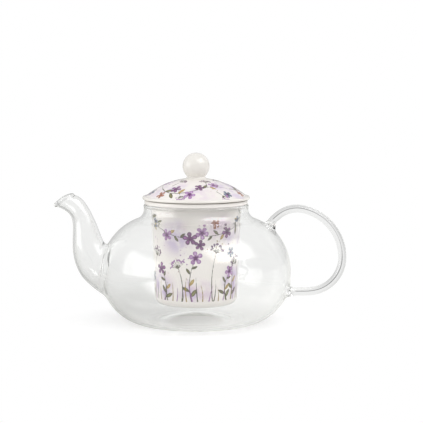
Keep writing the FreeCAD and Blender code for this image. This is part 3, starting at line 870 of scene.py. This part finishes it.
def pointing(turn):
    """The direction of a turn."""
    return np.array((math.cos(turn), math.sin(turn)))


def bent_line(start, end, bend, count=LINE_POINTS):
    """Points on a curve from a start to an end that bows out by a bend to its left."""
    start, end = np.array(start, float), np.array(end, float)
    shares = np.linspace(0, 1, count)[:, None]
    left = np.array((start[1] - end[1], end[0] - start[0])) / np.linalg.norm(end - start)
    return start + (end - start) * shares + left * bend * 4 * shares * (1 - shares)


def heading(points, index):
    """The way a line runs at one of its points."""
    way = points[min(index + 1, len(points) - 1)] - points[max(index - 1, 0)]
    return math.atan2(way[1], way[0])


# %% [markdown]
# ### The plants
# A few kinds of plant are enough for a meadow. Each is a function that lays touches of the brush, with
# a little chance in them. The dice are seeded, so they fall the same way each time.

# %% Flowers
DICE_SEED = 7
PETALS, PETAL_JITTER = 5, 0.2
PETAL_REACH, PETAL_SPREAD, PETAL_START = 0.62, 0.14, 0.2
PETAL_FOOT, PETAL_TIP = 0.3, 0.66
VEIN_REACH, VEIN_FOOT, VEIN_TIP = 0.8, 0.26, 0.06
EYE = 0.2
STALK, HAIR = 0.75, 0.42
FAN, RAY_REACH, RAY_SPREAD = 2.2, 0.8, 0.3
FLORETS, FLORET_SCATTER, FLORET, FLORET_SPREAD = 3, 0.55, 0.4, 0.35
dice = np.random.default_rng(DICE_SEED)


def blossom(sheet, place, size, turn, ink, veins):
    """An open flower with round petals, darker veins and a yellow eye."""
    place = np.array(place, float)
    for petal in range(PETALS):
        way = pointing(turn + math.tau * petal / PETALS + PETAL_JITTER * dice.random())
        reach = size * (PETAL_REACH + PETAL_SPREAD * dice.random())
        petal_line = (place + PETAL_START * size * way, place + reach * way)
        brush(sheet, ink, petal_line, PETAL_FOOT * size, PETAL_TIP * size)
        brush(sheet, veins, (place, place + VEIN_REACH * reach * way), VEIN_FOOT * size, VEIN_TIP * size)
    dot(sheet, "ochre", place, EYE * size)


def umbel(sheet, line, rays, reach, ink):
    """A stalk along a line whose top fans out into rays, each with a few small florets."""
    brush(sheet, "leaf", line, STALK, HAIR)
    for ray in range(rays):
        turn = heading(line, len(line) - 1) + FAN * (ray / (rays - 1) - 0.5)
        tip = line[-1] + reach * (RAY_REACH + RAY_SPREAD * dice.random()) * pointing(turn)
        brush(sheet, "leaf", (line[-1], tip), HAIR, HAIR)
        for _ in range(FLORETS):
            dot(sheet, ink, tip + dice.normal(0, FLORET_SCATTER, 2), FLORET + FLORET_SPREAD * dice.random())


# %% Leaves, drops and washes
LEAF_FIRST, LEAF_SHRINK, LEAF_TURN, LEAF_JITTER, LEAF_WIDTH = 1.1, 0.5, 0.6, 0.4, 0.36
TWIG_INKS = ("leaf", "leaf", "ochre")
BLADE_LEAN, BLADE_BOW, BLADE_FOOT, BLADE_TIP = 0.5, 0.15, 0.95, 0.3
DROP, DROP_SPREAD = 0.2, 0.35
WASH_REACH = 1.3


def twig(sheet, line, leaves, length):
    """A twig along a line, with leaves to both sides that get smaller towards its tip."""
    brush(sheet, "leaf", line, STALK, HAIR)
    for count in range(leaves):
        index = 1 + count * (len(line) - 2) // leaves
        side = 1 if count % 2 else -1
        size = length * (LEAF_FIRST - LEAF_SHRINK * count / leaves)
        turn = heading(line, index) + side * (LEAF_TURN + LEAF_JITTER * dice.random())
        leaf(sheet, TWIG_INKS[count % len(TWIG_INKS)], line[index], turn, size, LEAF_WIDTH * size)


def grass(sheet, foot, tall, ink):
    """A long thin blade that bows to one side."""
    lean = BLADE_LEAN * (dice.random() - 0.5)
    tip = (foot[0] + lean * tall, foot[1] + tall)
    blade = bent_line(foot, tip, BLADE_BOW * tall * (dice.random() - 0.5))
    brush(sheet, ink, blade, BLADE_FOOT, BLADE_TIP)


def spatter(sheet, ink, middle, spread, drops):
    """Small drops that a full brush lets fall."""
    for _ in range(drops):
        dot(sheet, ink, np.array(middle) + dice.normal(0, spread, 2), DROP + DROP_SPREAD * dice.random())


def wash(sheet, place, wide, tall, turn, strength):
    """A soft, wet patch of thin colour."""
    across, up = seen_from(sheet, place)
    along = (across * math.cos(turn) + up * math.sin(turn)) / wide
    aside = (up * math.cos(turn) - across * math.sin(turn)) / tall
    fade = np.clip(WASH_REACH - np.hypot(along, aside), 0, 1)
    sheet["wash"] = np.maximum(sheet["wash"], strength * fade * fade * (3 - 2 * fade))


# %% Keeping a print
def corner_places(piece):
    """A piece's corners, in millimetres: their radius, their turn from the front and their height."""
    places = np.empty(len(piece.data.vertices) * 3)
    piece.data.vertices.foreach_get("co", places)
    across, deep, up = places.reshape(-1, 3).T / MM
    return np.hypot(across, deep), np.arctan2(across, -deep), up


def keep_print(piece, sheet, printed):
    """Store a printed sheet on a piece's corners, with no ink on the corners that aren't printed."""

    def spread_out(values, elsewhere):
        everywhere = np.full(len(printed), elsewhere, float)
        everywhere[printed] = np.clip(values, -FAR_AWAY, FAR_AWAY)
        return everywhere

    for name, inks in PRINT_LAYERS.items():
        layers = np.stack([spread_out(sheet[ink], FAR_AWAY) for ink in inks], axis=1)
        stored = piece.data.attributes.new(name, "FLOAT_VECTOR", "POINT")
        stored.data.foreach_set("vector", layers.ravel())
    stored = piece.data.attributes.new("wash", "FLOAT", "POINT")
    stored.data.foreach_set("value", spread_out(sheet["wash"], 0))
    print(piece.name, "printed on", int(printed.sum()), "corners")


# %% [markdown]
# ### The print on the cup
# On the cup the meadow grows up from the foot, and a flowering garland hangs under the flange. The
# design goes twice round, and each shape is laid the short way round, so it has no seam.

# %% Design for the infuser
MEADOW_SINKS = 1
MEADOW, CEILING = wall_foot[1] - MEADOW_SINKS, wall_top[1]
# Place, width and height to each side, turn and strength
CUP_WASHES = (
    ((-30, 30), 15, 12, 0.2, 0.85), ((2, 27), 17, 10, -0.1, 0.9), ((34, 33), 14, 14, 0.1, 0.8),
    ((-14, 66), 15, 13, 0.4, 0.75), ((20, 72), 17, 11, -0.3, 0.9), ((44, 60), 9, 14, 0.0, 0.6))
BLADES, FIRST_BLADE, BLADE_GAP = 24, -47, 4.0
BLADE_TALL, BLADE_TALLER = 8, 13
BLADE_INKS = ("leaf", "ochre", "mauve")
# Foot, height, bend and ink
CUP_UMBELS = ((-38, 33, 3, "plum"), (-11, 25, -2, "mauve"), (13, 36, 2, "plum"), (40, 27, -3, "plum"))
CUP_RAYS, CUP_RAY = 8, 6.2
# Foot, height, bend, size of the flower, and the inks of its petals and veins
CUP_FLOWERS = (
    (-26, 24, -3, 4.6, ("plum", "mauve")), (-3, 33, 3, 5.0, ("mauve", "plum")),
    (25, 22, 3, 4.4, ("mauve", "plum")), (31, 36, -2, 3.8, ("slate", "plum")),
    (-45, 17, 2, 3.8, ("slate", "plum")))
STEM_LEAVES, STEM_LEAF = 5, 7
# Start, end and bend
BOUGHS = (((-47, CEILING), (-2, 66), -5), ((50, CEILING), (2, 68), 6))
BOUGH_POINTS, BOUGH_LEAVES, BOUGH_LEAF = 12, 8, 7.5
# Place, size, turn and inks
GARLAND_FLOWERS = (
    ((-4, 66), 5.0, 0.3, ("plum", "mauve")), ((4.5, 70), 4.8, 0.9, ("mauve", "plum")),
    ((3, 61.5), 3.9, 0.1, ("plum", "slate")), ((-22, 68), 4.2, 0.5, ("mauve", "plum")),
    ((-35, 76), 3.4, 0.2, ("slate", "plum")), ((24, 70), 4.4, 0.7, ("plum", "mauve")),
    ((36, 77), 3.3, 0.4, ("slate", "plum")), ((14, 76), 3.3, 0.6, ("clay", "ochre")))
CUP_DROPS = (
    ("mauve", (-8, 52)), ("ochre", (16, 60)), ("plum", (30, 60)), ("mauve", (-34, 60)), ("clay", (-18, 42)))
DROP_SCATTER, DROPS = 4.5, 9
print("meadow from %.1f to %.1f mm" % (MEADOW, CEILING))

# %% Printing the infuser
radii, turns, heights = corner_places(infuser)
on_wall_outside = (radii > CUP_FOOT - WELD / MM) & (heights > wall_foot[1] - WELD / MM)
on_wall_outside &= heights < wall_top[1] + WELD / MM
girth = math.pi * (CUP_TOP + CUP_FOOT)
around = turns * girth / math.tau
cup_sheet = blank_sheet(around[on_wall_outside], heights[on_wall_outside], girth / 2)


def meadow_stem(foot, tall, bend):
    """A stem that grows up from the meadow and bows to one side."""
    return bent_line((foot, MEADOW), (foot + bend, MEADOW + tall), bend)


for patch in CUP_WASHES:
    wash(cup_sheet, *patch)
for step in range(BLADES):
    foot = (FIRST_BLADE + BLADE_GAP * step + dice.random(), MEADOW)
    tall = BLADE_TALL + BLADE_TALLER * dice.random()
    grass(cup_sheet, foot, tall, BLADE_INKS[step % len(BLADE_INKS)])
for foot, tall, bend, ink in CUP_UMBELS:
    umbel(cup_sheet, meadow_stem(foot, tall, bend), CUP_RAYS, CUP_RAY, ink)
for foot, tall, bend, size, inks in CUP_FLOWERS:
    stem = meadow_stem(foot, tall, bend)
    twig(cup_sheet, stem, STEM_LEAVES, STEM_LEAF)
    blossom(cup_sheet, stem[-1], size, tall, *inks)
for start, end, bend in BOUGHS:
    twig(cup_sheet, bent_line(start, end, bend, BOUGH_POINTS), BOUGH_LEAVES, BOUGH_LEAF)
for place, size, turn, inks in GARLAND_FLOWERS:
    blossom(cup_sheet, place, size, turn, *inks)
for ink, middle in CUP_DROPS:
    spatter(cup_sheet, ink, middle, DROP_SCATTER, DROPS)
keep_print(infuser, cup_sheet, on_wall_outside)

# %% [markdown]
# ### The print on the lid
# On the lid a wreath of the same plants runs round the knob and reaches out over the brim. It is drawn
# on the dome as if that were rolled out flat from its top, three times round.

# %% Design for the lid
LID_REPEATS = 3
LID_TURN = 360 / LID_REPEATS
# Every row starts with a distance from the top and an angle in degrees
# Here the width and the height to each side follow
LID_WASHES = ((26, -38, 14, 10), (33, 4, 16, 9), (22, 40, 13, 10), (35, 56, 12, 7))
LID_WASH = 0.65
WREATH, WREATH_WAVE, WREATH_STEPS = 29, 4.5, 10
WREATH_LEAVES, WREATH_LEAF = 7, 7.5
# Then how far the stalk runs out
LID_UMBELS = ((24, -46, -7), (24, 20, -7), (31, -24, 5), (31, 30, 5))
LID_RAYS, LID_RAY, STALK_TURN = 7, 4.2, 5
# Then the size and the inks
LID_FLOWERS = (
    (28, -32, 4.4, ("plum", "mauve")), (34, -8, 4.6, ("mauve", "plum")), (25, 6, 4.0, ("plum", "mauve")),
    (22, 36, 4.2, ("mauve", "plum")), (35, 44, 3.8, ("slate", "plum")), (36, -48, 3.8, ("clay", "ochre")))
# Then the ink, the scatter and the number of drops
LID_DROPS = ((19, 58, "mauve", 3, 7), (30, 24, "ochre", 3.5, 8))
print("lid print repeats every %d degrees" % LID_TURN)

# %% Printing the lid
radii, turns, heights = corner_places(lid)
from_ball = np.hypot(radii, heights - dome_centre[1])
on_top = (heights > brim_top - BRIM_ROUND / 2) & (from_ball > dome_ball - LID_WALL / 2)
reach = np.arcsin(np.clip(radii / dome_ball, 0, 1)) * dome_ball
rolled_out = (reach * np.sin(turns))[on_top], (reach * np.cos(turns))[on_top]
lid_sheet = blank_sheet(*rolled_out, girth * LID_REPEATS)


def on_lid(distance, degrees):
    """A place on the rolled-out dome, at a distance from its top and an angle from the front."""
    return distance * pointing(math.pi / 2 - math.radians(degrees))


def wreath_place(front, step):
    """A place on the wreath, which swings in and out as it goes round."""
    swing = WREATH_WAVE * math.sin(step * math.tau / WREATH_STEPS)
    return on_lid(WREATH + swing, front - LID_TURN / 2 + LID_TURN / WREATH_STEPS * step)


for repeat in range(LID_REPEATS):
    front = repeat * LID_TURN
    for distance, degrees, wide, tall in LID_WASHES:
        wash(lid_sheet, on_lid(distance, front + degrees), wide, tall, -math.radians(front), LID_WASH)
    wreath = np.array([wreath_place(front, step) for step in range(WREATH_STEPS + 1)])
    twig(lid_sheet, wreath, WREATH_LEAVES, WREATH_LEAF)
    for distance, degrees, out in LID_UMBELS:
        foot, top = on_lid(distance, front + degrees), on_lid(distance + out, front + degrees + STALK_TURN)
        umbel(lid_sheet, np.array([foot, top]), LID_RAYS, LID_RAY, "mauve" if out > 0 else "plum")
    for distance, degrees, size, inks in LID_FLOWERS:
        blossom(lid_sheet, on_lid(distance, front + degrees), size, distance, *inks)
    for distance, degrees, ink, scatter, drops in LID_DROPS:
        spatter(lid_sheet, ink, on_lid(distance, front + degrees), scatter, drops)
keep_print(lid, lid_sheet, on_top)

# %% [markdown]
# ## Glazed porcelain
# The body under the glaze is a warm white. The glaze is glossy and not perfectly even, so its roughness
# and its surface vary a little. The cup's colour is painted a little lighter than the lid's, to make up
# for the shade of the glass around it, and the knob's a little darker, as painted shade. Watercolour
# dries darkest along its edges, so each ink is dark near its outline and pale further in, with an edge
# that a fine noise roughens. Where the lid rests on the cup the rings are left unglazed and rough, and a
# dark ring painted on them stands in for the shade of the narrow gap between lid and cup.

# %% Inks
LILAC_WASH, ROSE_WASH = (0.58, 0.47, 0.68, 1), (0.74, 0.61, 0.71, 1)
# Each ink at its edge and further in
INK_COLOURS = {
    "plum": ((0.085, 0.018, 0.085, 1), (0.36, 0.13, 0.36, 1)),
    "mauve": ((0.30, 0.12, 0.34, 1), (0.62, 0.42, 0.67, 1)),
    "slate": ((0.045, 0.075, 0.13, 1), (0.26, 0.34, 0.45, 1)),
    "leaf": ((0.055, 0.05, 0.012, 1), (0.26, 0.25, 0.08, 1)),
    "ochre": ((0.33, 0.22, 0.04, 1), (0.68, 0.53, 0.20, 1)),
    "clay": ((0.26, 0.075, 0.035, 1), (0.58, 0.28, 0.16, 1)),
}
# Clouds to the metre and their detail
GRAIN, POOLS, BLOOM, TONE = (900, 2), (320, 3), (130, 4), (45, 1)
# What the clouds go from and to, and what that gives
BLOOM_TO, TONE_TO, POOLS_TO = (0.32, 0.62, 0.12, 1.0), (0.4, 0.6), (0.34, 0.64, 0.25, 1.0)
RAGGED = 0.5
PALE_INSIDE = (-1.1, -0.1, 1.0, 0.0)
INK_EDGE, INK_COVER = 0.14, 0.95


def printed_colour(tree, place, colour):
    """The colour of the glaze with the washes and inks of a print over it."""
    wet = node(tree, "Attribute", {}, attribute_name="wash").outputs["Fac"]
    soaked = worked_out(tree, "MULTIPLY", wet, eased(tree, noise(tree, place, *BLOOM), *BLOOM_TO))
    tone = eased(tree, noise(tree, place, *TONE), *TONE_TO)
    colour = mixed(tree, MIX_COLOURS, soaked, colour, mixed(tree, MIX_COLOURS, tone, LILAC_WASH, ROSE_WASH))
    ragged = worked_out(tree, "SUBTRACT", noise(tree, place, *GRAIN), 0.5)
    ragged = worked_out(tree, "MULTIPLY", ragged, RAGGED)
    settled = eased(tree, noise(tree, place, *POOLS), *POOLS_TO)
    for attribute, order in (("ink_leaves", 1), ("ink_flowers", -1)):
        stored = node(tree, "Attribute", {}, attribute_name=attribute).outputs["Vector"]
        layers = node(tree, "SeparateXYZ", {"Vector": stored}).outputs
        for layer, ink in list(enumerate(PRINT_LAYERS[attribute]))[::order]:
            distance = worked_out(tree, "ADD", layers[layer], ragged)
            paler = worked_out(tree, "MULTIPLY", eased(tree, distance, *PALE_INSIDE), settled)
            pigment = mixed(tree, MIX_COLOURS, paler, *INK_COLOURS[ink])
            cover = eased(tree, distance, -INK_EDGE, INK_EDGE, INK_COVER, 0.0)
            colour = mixed(tree, MIX_COLOURS, cover, colour, pigment)
    return colour


print("inks mixed:", ", ".join(INK_COLOURS))

# %% Porcelain
# Each glaze and its clouds
# The cup's colour is painted lighter than the lid's to make up for the glass's shade, and the knob's darker
# as painted shade
CUP_GLAZE_PAINTED_LIGHTER = (0.94, 0.90, 0.865, 1), (0.92, 0.88, 0.84, 1)
LID_GLAZE = (0.86, 0.828, 0.785, 1), (0.835, 0.80, 0.752, 1)
KNOB_GLAZE_PAINTED_DARKER = (0.80, 0.775, 0.735, 1), (0.77, 0.745, 0.70, 1)
GLAZE_INDEX = 1.5
CLOUDS, CLOUDS_TO_ROUGHNESS = (60, 2), (0.3, 0.7, 0.09, 0.17)
RIPPLES, RIPPLE_STRENGTH, RIPPLE_HEIGHT = (110, 1), 0.05, MM
# The seam's dark colour is painted shade of the narrow gap between lid and cup
SEAM_SHADE_PAINT, SEAM_ROUGHNESS = (0.16, 0.125, 0.07, 1), 0.7
SEAM_HALF, SEAM_SOFT = 0.3, 0.1
seam_height = (BRIM_UNDER + FLANGE_TOP) / 2
SEAM_FROM = (FLANGE - 2) * MM, (FLANGE - 1.5) * MM


def painted_seam_shade(tree, place):
    """1 on the unglazed rings where the lid rests on the cup, where the gap's shade is painted, and 0
    elsewhere.
    """
    axes = node(tree, "SeparateXYZ", {"Vector": place}).outputs
    level = node(tree, "CombineXYZ", {"X": axes["X"], "Y": axes["Y"]}).outputs[0]
    radius = node(tree, "VectorMath", {0: level}, operation="LENGTH").outputs["Value"]
    low, high = (seam_height - SEAM_HALF) * MM, (seam_height + SEAM_HALF) * MM
    soft = SEAM_SOFT * MM
    rings = band(tree, axes["Z"], (low - soft, low + soft, high - soft, high + soft))
    return worked_out(tree, "MULTIPLY", rings, eased(tree, radius, *SEAM_FROM))


def porcelain_material(name, glaze, glaze_cloud, printed):
    """Warm white glazed porcelain, with a print under its glaze and a painted seam shade if it has them."""
    material, tree, output = new_material(name)
    place = node(tree, "TexCoord", {}).outputs["Object"]
    cloud = noise(tree, place, *CLOUDS)
    colour = mixed(tree, MIX_COLOURS, cloud, glaze, glaze_cloud)
    roughness = eased(tree, cloud, *CLOUDS_TO_ROUGHNESS)
    if printed:
        # A dark ring of painted shade where the lid meets the cup
        seam_shade = painted_seam_shade(tree, place)
        colour = mixed(tree, MIX_COLOURS, seam_shade, printed_colour(tree, place, colour), SEAM_SHADE_PAINT)
        roughness = mixed(tree, MIX_NUMBERS, seam_shade, roughness, SEAM_ROUGHNESS)
    ripples = waviness(tree, noise(tree, place, *RIPPLES), RIPPLE_STRENGTH, RIPPLE_HEIGHT)
    surface = node(tree, "BsdfPrincipled", {
        "Base Color": colour, "Roughness": roughness, "IOR": GLAZE_INDEX, "Normal": ripples})
    tree.links.new(surface.outputs[0], output.inputs["Surface"])
    return material


for piece, name, glazes, printed in (
        (infuser, "cup_porcelain", CUP_GLAZE_PAINTED_LIGHTER, True),
        (lid, "lid_porcelain", LID_GLAZE, True),
        (lid_knob, "plain_porcelain", KNOB_GLAZE_PAINTED_DARKER, False)):
    piece.data.materials.clear()
    piece.data.materials.append(porcelain_material(name, *glazes, printed))
print("porcelain finished, seam at %.2f mm" % seam_height)

# %% [markdown]
# ## The table
# A white table keeps the pot's shadow close to the pot. Further out the camera sees plain white, so the
# table runs out into the white wall with no line between them. Light that came through the glass passes
# the far table too, and ends on the wall, so the glass shows no hard horizon either. The glow that lifts
# the table shows to the camera, through glass and in mirror images, but it lights no matt surface. In
# the glass it is brighter on the right, and mirrored in it the table is darker, which draws the pot's
# lower edge.

# %% Table
TABLE_SIZE = 60
bpy.ops.object.select_all(action="DESELECT")
bpy.ops.mesh.primitive_plane_add(size=TABLE_SIZE)
table = bpy.context.object
table.name = "table"

# %% Finish of the table
TABLE_WHITE, TABLE_MIRRORED = (0.9, 0.9, 0.9, 1), (0.6, 0.6, 0.56, 1)
TABLE_IN_GLASS = (0.45, 0.45, 0.44, 1)
TABLE_GLOW = 0.18
# From where to where, left to right, the glow changes, and what it is at both ends
GLOW_IN_GLASS = (-60 * MM, 15 * MM, 0.31, 0.55)
GLOW_MIRRORED = (-60 * MM, 120 * MM, 0.05, 0.32)
WHITE_FROM = (0.05, 0.12)
# Light through the pot's walls, or through one solid, passes the table where its nearness is small
NEAR_TABLE = 0.1
PASSING_WALLS, PASSING_SOLIDS = (0.12, 0.95, 1.0, 0.0), (0.7, 1.2, 1.0, 0.0)
# Light that crossed one solid has been through two surfaces, and light that crossed the pot through four
ONE_SOLID = (2.4, 2.6)


def table_material():
    """A white table that keeps the pot's shadow and runs out into the white wall."""
    material, tree, output = new_material("white_table")
    place = node(tree, "TexCoord", {}).outputs["Object"]
    distance = node(tree, "VectorMath", {0: place}, operation="LENGTH").outputs["Value"]
    across = node(tree, "SeparateXYZ", {"Vector": place}).outputs["X"]
    ray = node(tree, "LightPath", {}).outputs
    glow = worked_out(tree, "MULTIPLY", ray["Is Camera Ray"], TABLE_GLOW)
    paint = TABLE_WHITE
    for kind, glow_seen, paint_seen in (
            ("Is Glossy Ray", GLOW_MIRRORED, TABLE_MIRRORED),
            ("Is Transmission Ray", GLOW_IN_GLASS, TABLE_IN_GLASS)):
        glow = mixed(tree, MIX_NUMBERS, ray[kind], glow, eased(tree, across, *glow_seen))
        paint = mixed(tree, MIX_COLOURS, ray[kind], paint, paint_seen)
    lit = node(tree, "BsdfDiffuse", {"Color": paint}).outputs[0]
    lift = node(tree, "Emission", {"Strength": glow}).outputs[0]
    lifted = node(tree, "AddShader", {0: lit, 1: lift}).outputs[0]
    white = node(tree, "Emission", {}).outputs[0]
    far = worked_out(tree, "MULTIPLY", eased(tree, distance, *WHITE_FROM), ray["Is Camera Ray"])
    seen = node(tree, "MixShader", {0: far, 1: lifted, 2: white}).outputs[0]
    nearness = worked_out(tree, "DIVIDE", NEAR_TABLE, distance)
    walls, solids = (eased(tree, nearness, *passing) for passing in (PASSING_WALLS, PASSING_SOLIDS))
    hollow = eased(tree, ray["Transmission Depth"], *ONE_SOLID)
    passed = mixed(tree, MIX_NUMBERS, hollow, solids, walls)
    passed = worked_out(tree, "MULTIPLY", passed, ray["Is Transmission Ray"])
    gone = node(tree, "BsdfTransparent", {}).outputs[0]
    surface = node(tree, "MixShader", {0: passed, 1: seen, 2: gone}).outputs[0]
    tree.links.new(surface, output.inputs["Surface"])
    return material


table.data.materials.append(table_material())
print("table white from %.2f m" % WHITE_FROM[1])

# %% [markdown]
# ## The room
# Glass has no colour of its own, so its drawing comes from the room. To the camera the room is white.
# What is seen through the glass is a little darker, and darker still to the sides. The solid rod acts as
# a strong lens, and turns a dark patch low behind it into a thin line along its middle. What is mirrored
# is darker too, and brightens towards the ceiling.

# %% Room
WHITE, AMBIENT = 1.0, 0.78
# From where to where a direction goes, and the levels at both ends
MIRRORED = (0.0, 0.6, 0.5, 0.85)
THROUGH_WALLS = (-0.2, 0.8, 0.75, 0.97)
DARK_LEFT, DARK_BELOW = (-0.5, 0.1, 0.82, 1.0), (-0.5, -0.12, 0.78, 1.0)
THROUGH_SOLIDS, DARK_PATCH = 0.90, 0.36
PATCH_ACROSS = (-0.01, 0.05, 0.17, 0.23)
PATCH_UP = (-0.27, -0.22, -0.135, -0.105)


def behind_a_solid(tree, axes):
    """The level that is seen through solid glass: darker to the left and below, with a dark patch."""
    across, up = band(tree, axes["X"], PATCH_ACROSS), band(tree, axes["Z"], PATCH_UP)
    patch = worked_out(tree, "MULTIPLY", across, up)
    left, below = eased(tree, axes["X"], *DARK_LEFT), eased(tree, axes["Z"], *DARK_BELOW)
    level = mixed(tree, MIX_NUMBERS, patch, THROUGH_SOLIDS, DARK_PATCH)
    return worked_out(tree, "MULTIPLY", worked_out(tree, "MULTIPLY", left, below), level)


def studio_room():
    """A white room, as dark through glass and in reflections as the drawing of the glass needs."""
    world = bpy.data.worlds.new("studio")
    world.use_nodes = True
    tree = world.node_tree
    tree.nodes.clear()
    ray = node(tree, "LightPath", {}).outputs
    towards = node(tree, "TexCoord", {}).outputs["Generated"]
    axes = node(tree, "SeparateXYZ", {"Vector": towards}).outputs
    hollow = eased(tree, ray["Transmission Depth"], *ONE_SOLID)
    walls = eased(tree, axes["Y"], *THROUGH_WALLS)
    behind = mixed(tree, MIX_NUMBERS, hollow, behind_a_solid(tree, axes), walls)
    mirrored = eased(tree, axes["Z"], *MIRRORED)
    level = AMBIENT
    for kind, seen in (
            ("Is Glossy Ray", mirrored), ("Is Transmission Ray", behind), ("Is Camera Ray", WHITE)):
        level = mixed(tree, MIX_NUMBERS, ray[kind], level, seen)
    light = node(tree, "Background", {"Color": (1, 1, 1, 1), "Strength": level})
    node(tree, "OutputWorld", {"Surface": light.outputs[0]})
    print("room wired with", len(tree.nodes), "nodes")
    return world


bpy.context.scene.world = studio_room()

# %% [markdown]
# ## Soft boxes
# Two large soft boxes stand low on the left and high on the right. Their cloth is brightest in the middle
# and fades towards its frame, so their mirror images in the glass are pale windows with soft edges. Two
# more boxes only strengthen those images: they are hidden from matt surfaces, so they light nothing.

# %% Soft boxes
POT_MIDDLE = Vector((0, 0, 0.05))
BOX_FADE = 0.2
# Name, turn to the right of the camera, rise, distance, size, radiance, and whether it gives light
SOFT_BOXES = (
    ("soft_box_left", -74, 14, 1.1, (1.2, 0.95), 1.7, True),
    ("soft_box_right", 60, 48, 1.2, (1.35, 1.05), 1.9, True),
    ("window_left", -62, 13, 1.1, (0.95, 0.75), 0.9, False),
    ("window_right", 50, 46, 1.2, (1.25, 0.8), 2.2, False))


def soft_box(name, turn, rise, distance, size, radiance, lights):
    """A soft box that faces the pot."""
    turn, rise = math.radians(turn), math.radians(rise)
    way = Vector((math.sin(turn) * math.cos(rise), -math.cos(turn) * math.cos(rise), math.sin(rise)))
    lamp = bpy.data.lights.new(name, "AREA")
    lamp.shape = "RECTANGLE"
    lamp.size, lamp.size_y = size
    lamp.energy = radiance * math.pi * size[0] * size[1]
    lamp.use_nodes = True
    tree = lamp.node_tree
    tree.nodes.clear()
    on_cloth = node(tree, "NewGeometry", {}).outputs["Parametric"]
    cloth = node(tree, "SeparateXYZ", {"Vector": on_cloth}).outputs
    fades = [band(tree, cloth[axis], (0.0, BOX_FADE, 1 - BOX_FADE, 1.0)) for axis in "XY"]
    glow = node(tree, "Emission", {"Strength": worked_out(tree, "MULTIPLY", *fades)})
    node(tree, "OutputLight", {"Surface": glow.outputs[0]})
    box = bpy.data.objects.new(name, lamp)
    box.location = way * distance + POT_MIDDLE
    box.rotation_euler = (-way).to_track_quat("-Z", "Y").to_euler()
    box.visible_diffuse = lights
    bpy.context.scene.collection.objects.link(box)


for box in SOFT_BOXES:
    soft_box(*box)
print("soft boxes:", ", ".join(box[0] for box in SOFT_BOXES))

# %% [markdown]
# ## Finish
# Light that is caught inside solid glass bounces many times before it leaves, and a ray that runs out of
# bounces is black. So the glass gets plenty of them. The colours are shown as they are written.

# %% Finish
LIGHT_BOUNCES = 128
bpy.context.scene.view_settings.view_transform = "Standard"
bounces = bpy.context.scene.cycles
bounces.max_bounces = bounces.glossy_bounces = bounces.transmission_bounces = LIGHT_BOUNCES
